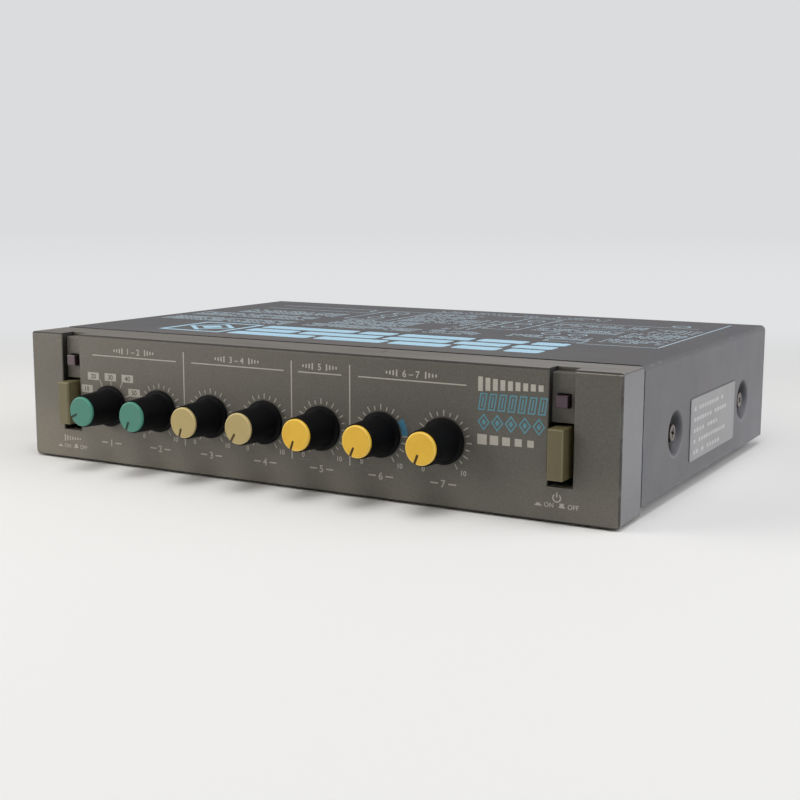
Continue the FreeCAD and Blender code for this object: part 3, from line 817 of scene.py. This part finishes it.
addPiece("cover", coverMesh(**cover), "cover_paint", replaces=["top_cover"], sharp=50)
print("cover made")


# Cover screws: one head with a cross recess, set in the four dimples by a geometry tree

screwShape = {"head": 2.8, "height": 1.5, "shank": 1.45, "length": 6.0, "reach": 1.6, "slot": 0.85}


def screwMesh(head, height, shank, length, reach, slot):  # its axis along +x, the head's seat at the origin
    profile = [(0, -length), (shank, -length, 0.2), (shank, 0.0), (head, 0.0, 0.12),
               (head, height * 0.7, 0.3), (head * 0.9, height, 0.25), (0, height)]
    body = spun(profile, lambda a, b, level: Vector((level, a, b)) * mm, 48, 5)
    half = slot / 2
    cross = [(half, reach), (half, half), (reach, half)]
    for quarter in range(3):
        cross += [(b, -a) for a, b in cross[-3:]]

    def place(a, b, level):  # narrower at the bottom
        narrow = 0.62 if level < height else 1.15
        return Vector((level, a * narrow, b * narrow)) * mm
    return carved(body, prism(cross, height - 1.0, height + 0.6, place))


def screwTurns(growth, index):  # each head stops at another angle, and those on the left face left
    return growth.vector(growth.given("Turn") * (index + 1), 0.0, (1 - index % 2) * math.pi)


screwNear, screwFar = (frontFace + depth * mm for depth in cover["dimples"])
screwValues = {"Side": (cover["half"] - dimple["sink"]) * mm, "Near": screwNear, "Far": screwFar,
               "Height": dimple["height"] * mm, "Turn": 0.62}
screws = repeated("coverScrews", screwMesh(**screwShape), "zinc_screw", cornerSpots, screwValues, screwTurns)
addPiece("side_screws", screws, "zinc_screw", replaces=["cover_screws"])
print("screws made")


# Print: flat shapes on a face, drawn with a to the right and b up

def box(a0, b0, a1, b1):
    return [(a0, b0), (a1, b0), (a1, b1), (a0, b1)]


def diamond(a, b, wide, tall):
    return [(a - wide, b), (a, b - tall), (a + wide, b), (a, b + tall)]


class Print:
    def __init__(self, place, low, high):
        self.place = place
        self.low = low
        self.high = high

    def shape(self, outline):
        return prism(outline, self.low, self.high, self.place)

    def strip(self, a0, b0, a1, b1):
        return self.shape(box(a0, b0, a1, b1))

    def line(self, a0, b0, a1, b1, width):
        along = Vector((a1 - a0, b1 - b0)).normalized() * width / 2
        a, b = along.y, -along.x
        return self.shape([(a0 + a, b0 + b), (a1 + a, b1 + b), (a1 - a, b1 - b), (a0 - a, b0 - b)])

    def between(self, firsts, seconds, closed=True):  # a band whose edges are two lines of points
        points = [self.place(*spot, level) for pair in zip(firsts, seconds) for spot in pair
                  for level in (self.low, self.high)]
        count, faces = len(firsts), []
        for i in range(count if closed else count - 1):
            here, there = 4 * i, 4 * ((i + 1) % count)
            for a, b in ((0, 1), (1, 3), (3, 2), (2, 0)):
                faces.append((here + a, here + b, there + b, there + a))
        if not closed:
            faces += [(0, 1, 3, 2), tuple(4 * (count - 1) + i for i in (0, 1, 3, 2))]
        return outward(meshFrom(points, faces))

    def ring(self, a, b, outer, inner, start=0.0, sweep=360.0, steps=40):
        closed = sweep >= 360
        turns = [math.radians(start + sweep * i / steps) for i in range(steps if closed else steps + 1)]
        edges = [[(a + radius * math.sin(turn), b + radius * math.cos(turn)) for turn in turns]
                 for radius in (inner, outer)]
        return self.between(*edges, closed)

    def outline(self, corners, width):  # a closed line of even width inside the corners
        inner = []
        for i, corner in enumerate(corners):
            here = Vector(corner)
            before = (here - Vector(corners[i - 1])).normalized()
            after = (Vector(corners[(i + 1) % len(corners)]) - here).normalized()
            normal = Vector((-(before.y + after.y), before.x + after.x)).normalized()
            inner.append(here + normal * (width / max(0.3, normal.dot(Vector((-before.y, before.x))))))
        return self.between(corners, inner)

    def lettering(self, words, height, a, b, bold):
        curve = bpy.data.curves.new("lettering", "FONT")
        curve.body = words
        curve.extrude = 0.5
        curve.offset = bold
        curve.resolution_u = 4
        mesh = evaluated(curve)
        across = [vertex.co.x for vertex in mesh.vertices]
        middle = (min(across) + max(across)) / 2
        scale = height / 0.7  # a capital is 0.7 of the font's size
        for vertex in mesh.vertices:
            x, y, level = vertex.co
            level = self.low if level > 0 else self.high
            vertex.co = self.place(a + (x - middle) * scale, b + (y - 0.35) * scale, level)
        mesh.materials.clear()
        return outward(mesh)


# Front print

def onFront(a, b, level):
    return at(a, level, b)


front = Print(onFront, -0.03, 0.02)  # the print stands three hundredths proud of the face
frontRaised = Print(onFront, -0.045, -0.02)
dial = {"count": 21, "sweep": 300.0, "inner": 7.5, "short": 1.25, "long": 1.72, "width": 0.33, "knobs": 6}
toneArc = {"outer": 9.3, "inner": 7.3, "start": 54, "sweep": 34, "steps": 12}


def tickMesh():
    growth = Growth("dialTicks", ("Sweep", "Inner", "Short", "Long", "Width", "Thickness"),
                    Count="Int", Knobs="Int", First="Vector", Step="Vector")
    count, sweep, inner, short, long = growth.given("Count", "Sweep", "Inner", "Short", "Long")
    index = growth.value(0, "GeometryNodeInputIndex")
    angle = (index / (count - 1) - 0.5) * sweep
    reach = long - (long - short) * (index % 2)
    middle = inner + reach * 0.5
    spot = growth.vector(growth.maths("SINE", angle) * middle, 0.0, growth.maths("COSINE", angle) * middle)
    size = growth.vector(growth.given("Width"), growth.given("Thickness"), 1.0)
    bar = growth.value("Mesh", "GeometryNodeMeshCube", {}, {"Size": size})
    ring = growth.onPoints(growth.spread(count, spot), bar, growth.vector(0.0, angle, 0.0),
                           growth.vector(1.0, 1.0, reach))
    knobs = growth.line(growth.given("Knobs"), **{"Start Location": growth.given("First"),
                                                  "Offset": growth.given("Step")})
    growth.close(growth.onPoints(knobs, ring), inks["frontPrint"])
    lengths = {label: dial[label.lower()] * mm for label in ("Inner", "Short", "Long", "Width")}
    return growth.grow({
        **lengths, "Count": dial["count"], "Sweep": math.radians(dial["sweep"]), "Knobs": dial["knobs"],
        "First": at(controlX[1], (front.low + front.high) / 2, controls["height"]),
        "Step": Vector((controls["pitch"] * mm, 0, 0)), "Thickness": (front.high - front.low) * mm})


header = {"line": 37.5, "thick": 0.36, "row": 39.5, "letters": 2.0, "bold": 0.012, "spaces": (2.6, 4.9),
          "groups": ((-81.0, -44.8, "1 – 2"), (-38.5, -2.2, "3 – 4"), (3.2, 19.0, "5"),
                     (25.0, 61.5, "6 – 7")),
          "bars": {"bars": 4, "width": 0.5, "tall": 2.0, "decay": 0.74}, "pitch": 1.15,
          "dividers": (-41.7, 0.7, 22.0), "dividerHalf": 0.2, "low": 9.8, "high": 40.8}
knobLabels = {"letters": 2.2, "bold": 0.02, "row": 7.7, "start": 1.7, "end": 4.3, "half": 0.22,
              "ends": ("0", "10"), "endLetters": 1.5, "endAcross": 6.7, "endRow": 11.5}
buttonLabels = {"left": -91.4, "right": 90.2, "leftRow": 4.85, "rightRow": 5.4, "signRow": 7.6,
                "bars": {"bars": 7, "pitch": 1.15, "width": 0.55, "tall": 2.4, "decay": 0.8},
                "barsAcross": -3.4, "signBar": (0.2, 0.1, 1.6),
                "sign": {"outer": 1.35, "inner": 0.95, "start": 40, "sweep": 280, "steps": 24},
                "letters": 1.35, "bold": 0.008, "words": (("ON", -2.4), ("OFF", 5.0)),
                "marks": ((-6.7, -0.55, -4.6, -0.2), (-6.2, -0.2, -5.1, 0.25),  # pushed in, and standing out
                          (0.6, -0.55, 2.5, -0.2), (0.9, -0.2, 2.2, 0.75))}
rangeLabels = {"wide": 2.5, "tall": 1.3, "letters": 1.6, "bold": 0.012, "width": 0.32,
               "places": {"10": (-83.9, 25.7), "20": (-80.9, 30.2), "30": (-73.3, 30.3), "40": (-65.8, 30.3),
                          "50": (-63.0, 25.7)},
               "leaders": ((-78.0, 29.1, -77.0, 26.8), (-73.1, 28.9, -73.1, 27.4),
                           (-68.1, 28.9, -69.0, 27.0), (-65.5, 24.5, -67.0, 24.0))}


def echoBars(x, z, bars, pitch, width, tall, decay):  # a negative pitch runs to the left
    meshes = []
    for i in range(bars):
        half = tall * decay ** i / 2
        centre = x + pitch * i
        meshes.append(front.strip(centre - width / 2, z - half, centre + width / 2, z + half))
    return meshes


def headerMeshes(line, thick, row, letters, bold, spaces, groups, bars, pitch, dividers, dividerHalf, low,
                 high):
    meshes = []
    for left, right, words in groups:
        middle, space = (left + right) / 2, spaces[len(words) > 1]
        meshes.append(front.strip(left, line - thick / 2, right, line + thick / 2))
        meshes.append(front.lettering(words, letters, middle, row, bold))
        for flip in (-1, 1):
            meshes += echoBars(middle + flip * space, row, pitch=flip * pitch, **bars)
    return meshes + [front.strip(x - dividerHalf, low, x + dividerHalf, high) for x in dividers]


def knobLabelMeshes(letters, bold, row, start, end, half, ends, endLetters, endAcross, endRow):
    meshes = []
    for i, x in enumerate(controlX):
        meshes.append(front.lettering(str(i + 1), letters, x, row, bold))
        for flip, number in zip((-1, 1), ends):
            meshes.append(front.strip(x + flip * start, row - half, x + flip * end, row + half))
            if i:
                meshes.append(front.lettering(number, endLetters, x + flip * endAcross, endRow, bold))
    return meshes


def buttonLabelMeshes(left, right, leftRow, rightRow, signRow, bars, barsAcross, sign, signBar, letters,
                      bold, words, marks):
    meshes = echoBars(left + barsAcross, signRow, **bars)
    half, low, high = signBar
    meshes.append(front.ring(right, signRow, **sign))
    meshes.append(front.strip(right - half, signRow + low, right + half, signRow + high))
    for middle, row in ((left, leftRow), (right, rightRow)):
        meshes += [front.strip(middle + x0, row + z0, middle + x1, row + z1) for x0, z0, x1, z1 in marks]
        meshes += [front.lettering(word, letters, middle + across, row, bold) for word, across in words]
    return meshes


def rangeMeshes(wide, tall, letters, bold, width, places, leaders):
    boxes = [front.strip(x - wide, z - tall, x + wide, z + tall) for x, z in places.values()]
    boxes += [front.line(*leader, width) for leader in leaders]
    return boxes, [frontRaised.lettering(number, letters, x, z, bold) for number, (x, z) in places.items()]


emblem = {"left": 65.2, "barShift": 0.8, "line": 0.42, "slants": 7, "slantWidth": 2.3, "lean": 0.8,
          "stroke": (0.14, 0.9), "low": 30.7, "high": 35.7,
          "diamonds": 5, "half": (1.95, 2.5), "core": (0.75, 0.96), "diamondRow": 27.3,
          "squares": 5, "squareHalf": 1.5, "squareRow": 22.2, "decay": 0.9, "pitches": (3.12, 4.3, 3.8)}
emblemBars = {"z": 38.3, "bars": 9, "pitch": 2.35, "width": 1.5, "tall": 4.2, "decay": 0.9}


def emblemMeshes(left, barShift, line, slants, slantWidth, lean, stroke, low, high, diamonds, half, core,
                 diamondRow, squares, squareHalf, squareRow, decay, pitches):
    white, teal = echoBars(left + barShift, **emblemBars), []
    slantPitch, diamondPitch, squarePitch = pitches
    across, up = stroke  # where the line in each slanted frame starts
    for i in range(slants):
        x = left + slantPitch * i
        end, middle = x + slantWidth, x + slantWidth / 2
        teal.append(front.outline([(x, low), (end, low), (end + lean, high), (x + lean, high)], line))
        teal.append(front.line(middle + across, low + up, middle + lean - across, high - up, line))
    for i in range(diamonds):
        x = left + half[0] + diamondPitch * i
        teal.append(front.outline(diamond(x, diamondRow, *half), line))
        teal.append(front.shape(diamond(x, diamondRow, *core)))
    for i in range(squares):
        x, reach = left + squareHalf + squarePitch * i, squareHalf * decay ** i
        white.append(front.strip(x - reach, squareRow - reach, x + reach, squareRow + reach))
    return white, teal


def addPrint(name, mesh, ink, slot="bezel_moulding"):
    addPiece(name, mesh, slot, finish=inks[ink])


addPrint("dial_ticks", tickMesh(), "frontPrint")
labels = headerMeshes(**header) + knobLabelMeshes(**knobLabels) + buttonLabelMeshes(**buttonLabels)
addPrint("front_print", joinedMesh(labels), "frontPrint")
rangeBoxes, rangeNumbers = rangeMeshes(**rangeLabels)
addPrint("range_boxes", joinedMesh(rangeBoxes), "frontPrint")
addPrint("range_numbers", joinedMesh(rangeNumbers), "labelInk")
emblemWhite, emblemTeal = emblemMeshes(**emblem)
addPrint("echo_emblem", joinedMesh(emblemWhite), "frontPrint")
addPrint("echo_emblem_outlines", joinedMesh(emblemTeal), "tealPrint")
arc = Print(onFront, frontRaised.low, front.high).ring(controlX[5], controls["height"], **toneArc)
addPrint("tone_arc", arc, "arcPrint")
print("front print made")


# Top print

top = Print(at, cover["top"] - 0.02, cover["top"] + 0.03)
band = {"near": 28.3, "far": 57.0, "left": -46.0, "right": 71.0, "gap": 2.7, "corner": 1.6,
        "rows": ((33.0, 26.0, 20.5, 15.5, 11.8), (20.0, 31.0, 24.0, 18.0, 13.8),
                 (38.0, 13.0, 27.0, 17.0, 11.8))}
badge = {"left": -75.5, "right": -49.5, "width": 1.7, "core": 4.6, "gap": 5.5}


def bandMeshes(near, far, left, right, gap, corner, rows):  # rows of bars like echoes that die away
    meshes = []
    tall = (far - near - gap * (len(rows) - 1)) / len(rows)
    for row, lengths in enumerate(rows):
        x, y = left, near + row * (tall + gap)
        for length in lengths:
            meshes.append(top.shape(roundedBox(x, y, x + length, y + tall, corner)))
            x += length + (right - left - sum(lengths)) / (len(lengths) - 1)
    return meshes


def badgeMeshes(left, right, width, core, gap):  # a framed diamond
    near, far, around = band["near"], band["far"], core + gap
    x, y = (left + right) / 2, (near + far) / 2
    return [top.outline(box(left, near, right, far), width), top.shape(diamond(x, y, core, core)),
            top.outline(diamond(x, y, around, around), width)]


dashes = {"seed": 12, "height": 1.15, "short": 1.1, "long": 2.5, "pitch": 2.1, "gaps": 0.13, "blocks": (
    (-101.0, -47.0, 62.5, 73.0, 5), (-101.0, -49.0, 81.0, 92.0, 5), (-91.0, -47.0, 99.0, 110.0, 5),
    (-38.0, 6.0, 65.5, 73.0, 4), (-34.0, -4.0, 77.0, 93.0, 7), (-16.0, 10.0, 98.0, 112.0, 6),
    (-18.0, 4.0, 116.0, 131.0, 6), (12.0, 30.0, 66.0, 74.0, 4), (13.0, 21.0, 79.0, 115.0, 14),
    (42.0, 70.0, 71.0, 76.0, 3), (42.0, 72.0, 92.0, 100.0, 4), (42.0, 75.0, 112.0, 118.0, 3),
    (76.0, 95.0, 69.0, 78.0, 4), (77.0, 95.0, 85.0, 99.0, 6), (81.0, 95.0, 105.0, 115.0, 4),
    (-20.0, 5.0, 137.5, 142.0, 2), (8.0, 52.0, 136.0, 141.0, 2))}  # left, right, near, far and rows
diagram = {"line": 0.6, "edge": 0.7, "ring": (3.4, 2.7),
           "edges": ((98.2, 60.0, 98.2, 144.0), (71.0, 60.0, 98.5, 60.0)),
           "frames": ((23, 88, 37, 132), (-40, 96, -20, 132), (58, 62.5, 72, 69)),
           "lines": ((21.5, 93, 23, 93), (-20, 104, -18, 104), (37, 106, 75, 106), (37, 124, 92, 124),
                     (-92, 120, -40, 120), (-92, 132, -46, 132), (-46, 132, -46, 126), (-46, 126, -40, 126)),
           "rings": ((30, 98), (30, 110), (30, 122), (-30, 104), (-30, 114), (-30, 124), (84, 130),
                     (62, 84), (52, 84))}


def dashTree():
    growth = Growth("dashRows", ("Height", "Short", "Long", "Thickness", "Gaps"),
                    Seed="Int", Start="Vector", End="Vector", Count="Int", Turn="Vector")
    count, start, end, seed = growth.given("Count", "Start", "End", "Seed")
    short, long, height, thickness = growth.given("Short", "Long", "Height", "Thickness")
    line = growth.value(0, "GeometryNodeMeshLine", {"mode": "END_POINTS"},
                        {"Count": count, "Start Location": start, "Offset": end})
    chance = growth.value(1, "FunctionNodeRandomValue", {"data_type": "FLOAT"},
                          {2: short, 3: long, "Seed": seed})
    gap = growth.value(3, "FunctionNodeRandomValue", {"data_type": "BOOLEAN"},
                       {"Probability": growth.given("Gaps"), "Seed": seed + 7})
    kept = growth.value(0, "GeometryNodeDeleteGeometry", {"domain": "POINT"},
                        {"Geometry": line, "Selection": gap})
    bar = growth.value("Mesh", "GeometryNodeMeshCube", {}, {"Size": (1.0, 1.0, 1.0)})
    scale = growth.vector(chance, height, thickness)
    growth.close(growth.onPoints(kept, bar, growth.given("Turn"), scale), inks["palePrint"])
    return growth


dashGrowth = dashTree()


def dashRow(look, seed, start, end, length, thick, **more):  # dashes of random length, with gaps
    sizes = {label: look[label.lower()] * mm for label in ("Height", "Short", "Long")}
    return dashGrowth.grow({"Seed": look["seed"] + seed, "Start": start, "End": end, "Gaps": look["gaps"],
                            "Count": int(length / look["pitch"]), "Thickness": thick * mm, **sizes, **more})


def dashMesh():
    meshes = []
    level = (top.low + top.high) / 2
    for number, (x0, x1, y0, y1, rows) in enumerate(dashes["blocks"]):
        for row in range(rows):
            y = y0 + (y1 - y0) * row / max(1, rows - 1)
            meshes.append(dashRow(dashes, number * 10 + row, at(x0, y, level), at(x1, y, level), x1 - x0,
                                  top.high - top.low))
    return joinedMesh(meshes)


def diagramMeshes(line, edge, ring, edges, frames, lines, rings):
    meshes = [top.line(*spots, edge) for spots in edges] + [top.line(*spots, line) for spots in lines]
    meshes += [top.outline(box(*spots), line) for spots in frames]
    return meshes + [top.ring(x, y, *ring) for x, y in rings]


addPrint("top_chevrons", joinedMesh(bandMeshes(**band) + badgeMeshes(**badge)), "bandPrint", "cover_paint")
addPrint("top_dashes", dashMesh(), "palePrint", "cover_paint")
addPrint("top_diagram", joinedMesh(diagramMeshes(**diagram)), "palePrint", "cover_paint")
print("top print made")


# Rear panel, sockets, nuts and feet

rear = {"face": 149.9, "firstJack": -78.0, "jackPitch": 32.0, "jackHeight": 24.0}
nut = {"flats": 12.7, "thick": 2.4, "bore": 4.77, "bevel": 0.7}
foot = {"top": 6.5, "bottom": 5.9, "height": 3.4, "edge": 0.7, "dish": 2.4, "sink": 0.9}
feet = {"side": 94.0, "near": 30.0, "far": 138.0}
rearLabels = {"letters": 2.6, "bold": 0.02, "row": 12.6, "power": (-80.0, 27.0),
              "sign": {"outer": 1.7, "inner": 1.3, "start": 40, "sweep": 280, "steps": 20},
              "dot": {"outer": 0.6, "inner": 0.0001, "steps": 16},
              "sliderEnds": ((-48.0, 0.8), (-52.0, 1.6)), "sliderRow": 21.4, "barPitch": 0.9, "barHalf": 0.25,
              "bracket": ((2.6, 12.4), (8.6, 12.4), (8.6, 9.8), (8.2, 9.8), (8.2, 12.0), (2.6, 12.0))}


def nutMesh(flats, thick, bore, bevel):  # about the axis x = 0, its corners turned off on both faces
    start, end = rear["face"], rear["face"] + thick
    wide, reach = flats / 2 + 0.35, flats / math.sqrt(3)

    def place(a, b, level):
        return at(a, level, rear["jackHeight"] + b)
    blank = spun([(bore, start), (wide, start), (wide + bevel, start + bevel * 0.6),
                  (wide + bevel, end - bevel * 0.6), (wide, end), (bore + 0.3, end), (bore, end - 0.3),
                  (bore, start)], place, 72)
    turns = [math.radians(30 + 60 * i) for i in range(6)]
    hexagon = [(reach * math.sin(turn), reach * math.cos(turn)) for turn in turns]
    return carved(blank, prism(hexagon, start - 1, end + 1, place), "INTERSECT")


def nutSpots(growth, index):
    return growth.vector(growth.given("First") + growth.given("Pitch") * index, 0.0, 0.0)


def footMesh(top, bottom, height, edge, dish, sink):  # about the vertical axis through the origin
    profile = [(0, sink), (dish - 0.5, sink, 0.4), (dish, 0.0, 0.3), (bottom, 0.0, edge), (top, height),
               (0, height)]
    return spun(profile, lambda a, b, level: Vector((a, b, level)) * mm)


def onRear(a, b, level):  # drawn as it is read from behind
    return at(-a, rear["face"] - level, b)


def rearPrintMeshes(letters, bold, row, power, sign, dot, sliderEnds, sliderRow, barPitch, barHalf, bracket):
    back, base = Print(onRear, front.low, front.high), rear["jackHeight"]
    meshes = [back.ring(*power, **sign), back.ring(*power, **dot)]
    for i in range(4):
        a = -(rear["firstJack"] + rear["jackPitch"] * i)
        meshes.append(back.lettering(str(4 - i), letters, a, base + row, bold))
        meshes += [back.shape([(a + flip * x, base + z) for x, z in bracket]) for flip in (-1, 1)]
    for a, tall in sliderEnds:
        for x in (a - barPitch, a, a + barPitch):
            meshes.append(back.strip(x - barHalf, sliderRow, x + barHalf, sliderRow + tall))
    return meshes


nutValues = {"First": rear["firstJack"] * mm, "Pitch": rear["jackPitch"] * mm}
nuts = repeated("jackNuts", nutMesh(**nut), "plated_nut", nutSpots, nutValues)
addPiece("nuts", nuts, "plated_nut", replaces=["jack_nuts"])
feetValues = {"Side": feet["side"] * mm, "Near": frontFace + feet["near"] * mm,
              "Far": frontFace + feet["far"] * mm, "Height": 0.0}
rubberFeet = repeated("rubberFeet", footMesh(**foot), "foot_rubber", cornerSpots, feetValues)
addPiece("feet", rubberFeet, "foot_rubber", replaces=["rubber_feet"])
for name in ("remote_jack", "mixed_output_jack", "direct_output_jack", "input_jack"):
    addPiece(name + "_moulding", softened(name, 0.25), "socket_plastic", replaces=[name])
addPiece("power_inlet", softened("power_socket", 0.15), "socket_plastic", replaces=["power_socket"],
         finish=makePowerSocketFinish())
addPiece("slider", softened("level_switch_lever", 0.14), slotOf["level_switch_lever"], "level_slider",
         ["level_switch_lever"])
addPiece("chassis", softened("bottom_chassis", 0.12), "chassis_sheet", replaces=["bottom_chassis"])
addPrint("rear_print", joinedMesh(rearPrintMeshes(**rearLabels)), "rearInk", "chassis_sheet")
print("rear and feet made")


# Bare plate on the right side

plateMarks = {"seed": 31, "height": 1.25, "short": 1.5, "long": 2.3, "pitch": 2.5, "gaps": 0.13,
              "thick": 0.04, "left": 66.0, "first": 25.2, "rowPitch": 3.5,
              "ends": (96.0, 103.0, 90.0, 99.0, 93.0)}


def onSide(a, b, level):
    return at(cover["half"] + level, a, b)


def plateMesh(near, far, low, high, thick, corner):
    outline = roundedBox(near, low, far, high, corner)
    return beveled(prism(outline, -0.02, thick, onSide), 0.1, 2, 60)


def plateMarkMesh():  # rows of dashes, drawn by the same tree as those on the top
    meshes = []
    look, level = plateMarks, plate["thick"] + 0.01
    for row, end in enumerate(look["ends"]):
        height = look["first"] - look["rowPitch"] * row
        spots = onSide(look["left"], height, level), onSide(end, height, level)
        meshes.append(dashRow(look, row, *spots, end - look["left"], look["thick"],
                              Turn=(math.pi / 2, 0.0, math.pi / 2)))
    return joinedMesh(meshes)


addPiece("side_plate", plateMesh(**plate), "cover_paint", finish=makePlateFinish())
addPrint("side_plate_marks", plateMarkMesh(), "plateInk", "cover_paint")
print("side plate made")


# Stage, light and camera

view = {"azimuth": 29.447, "elevation": 8.905, "roll": 0.154, "lens": 58.889, "sensor": 36.0,
        "place": (0.228358, -0.40398, 0.09166)}
stageLook = {"base": (238, 238, 237), "radius": 9.0, "corners": 64, "fadeFrom": 0.1, "fadeTo": 0.46}
roomLook = {"low": screen(225, 226, 227), "high": screen(219, 220, 222), "frontLeft": 0.05,
            "frontRight": 0.03, "backLeft": 0.24, "backRight": 0.22, "above": 0.05}
lampAim = Vector((0.0, 0.0, 0.02))
lamps = {  # place, size, power and colour
    "overheadLamp": ((0.15, -0.1, 1.5), 0.7, 5.2, (1.0, 1.0, 1.0)),
    "highFrontLamp": ((0.33, -0.6, 1.5), 0.8, 7.4, (1.0, 0.99, 0.98)),
    "leftLamp": ((-0.5, -0.45, 0.3), 0.45, 2.1, (1.0, 0.96, 0.9)),
    "lowLeftLamp": ((-0.6, -0.2, 0.35), 0.4, 0.9, (1.0, 0.98, 0.95)),
    "rightLamp": ((0.8, 0.18, 0.42), 0.8, 5.3, (0.97, 0.97, 1.0)),
}
azimuth, elevation, roll = (math.radians(view[key]) for key in ("azimuth", "elevation", "roll"))
behind = Vector((-math.sin(azimuth), math.cos(azimuth), 0.0))
rightward = Vector((math.cos(azimuth), math.sin(azimuth), 0.0))


def stageMesh():
    count = stageLook["corners"]
    turns = [2 * math.pi * i / count for i in range(count)]
    rim = [Vector((math.cos(turn), math.sin(turn), 0)) * stageLook["radius"] for turn in turns]
    return meshFrom([Vector()] + rim, [(0, i + 1, (i + 1) % count + 1) for i in range(count)])


def makeStageFinish():  # behind the unit the floor fades into the pale backdrop
    finish = Finish("stagePaper", stageLook, Roughness=0.85)
    finish.set(Base_Color=finish.colour)
    path = finish.add("ShaderNodeLightPath").outputs
    camera, glossy, through = (Value(finish, path["Is " + kind + " Ray"])
                               for kind in ("Camera", "Glossy", "Transmission"))
    away = finish.x * behind.x + finish.y * behind.y
    around = (finish.x ** 2 + finish.y ** 2) ** 0.5
    pale = finish.blend(away.ease(0.4, 3.0).higher(around.ease(0.8, 3.0)), roomLook["low"], roomLook["high"])
    glow = finish.value(0, "ShaderNodeEmission", {}, {"Color": pale, "Strength": 1.0})
    fade = away.ease(stageLook["fadeFrom"], stageLook["fadeTo"]).higher(around.ease(0.5, 0.95))
    fade = fade * camera.higher(glossy).higher(through)
    mixed = finish.value(0, "ShaderNodeMixShader", {}, {0: fade, 1: finish.shader.outputs[0], 2: glow})
    finish.feed(finish.output.inputs["Surface"], mixed)
    return finish


def makeRoom():  # light that differs from side to side, and a pale backdrop for the camera
    world = bpy.data.worlds.new("room")
    bpy.context.scene.world = world
    world.use_nodes = True
    world.node_tree.nodes.clear()
    room = Graph(world.node_tree)
    ray = room.value("Generated", "ShaderNodeTexCoord")

    def along(direction):
        return room.value("Value", "ShaderNodeVectorMath", {"operation": "DOT_PRODUCT"},
                          {0: ray, 1: direction})

    def between(factor, first, second):
        return first + (second - first) * factor
    right, back = along(rightward).ease(-0.5, 0.5), along(behind).ease(-0.5, 0.5)
    frontLight = between(right, roomLook["frontLeft"], roomLook["frontRight"])
    backLight = between(right, roomLook["backLeft"], roomLook["backRight"])
    up = along((0.0, 0.0, 1.0)).ease(0.45, 0.95)
    light = between(up, between(back, frontLight, backLight), roomLook["above"])
    seen = room.value("Is Camera Ray", "ShaderNodeLightPath")
    tinted = room.vector(light * 0.985, light * 0.995, light * 1.01)
    shown = room.blend(seen, tinted, roomLook["high"])
    background = room.value(0, "ShaderNodeBackground", {}, {"Color": shown, "Strength": 1.0})
    room.add("ShaderNodeOutputWorld", {}, {"Surface": background})


def cameraMatrix():
    back = rightward.cross((0, 0, 1)) * math.cos(elevation) + Vector((0, 0, math.sin(elevation)))
    up = back.cross(rightward)
    right = rightward * math.cos(roll) + up * math.sin(roll)
    turn = Matrix((right, up * math.cos(roll) - rightward * math.sin(roll), back)).transposed()
    return Matrix.Translation(view["place"]) @ turn.to_4x4()


stage = linked("stage", stageMesh())
stage.data.materials.append(makeStageFinish().material)
for name, (place, size, power, colour) in lamps.items():
    light = bpy.data.lights.new(name, "AREA")
    light.shape = "RECTANGLE"
    light.size = light.size_y = size
    light.energy = power
    light.color = colour
    lamp = linked(name, light)
    lamp.location = place
    lamp.rotation_euler = (lampAim - lamp.location).to_track_quat("-Z", "Y").to_euler()
makeRoom()
cameraData = bpy.data.cameras.new("camera")
cameraData.sensor_width = view["sensor"]
cameraData.lens = view["lens"]
cameraData.clip_start = 0.01
camera = linked("camera", cameraData)
camera.matrix_world = cameraMatrix()
bpy.context.scene.camera = camera
bpy.context.scene.view_settings.view_transform = "Standard"
print("stage, light and camera made")
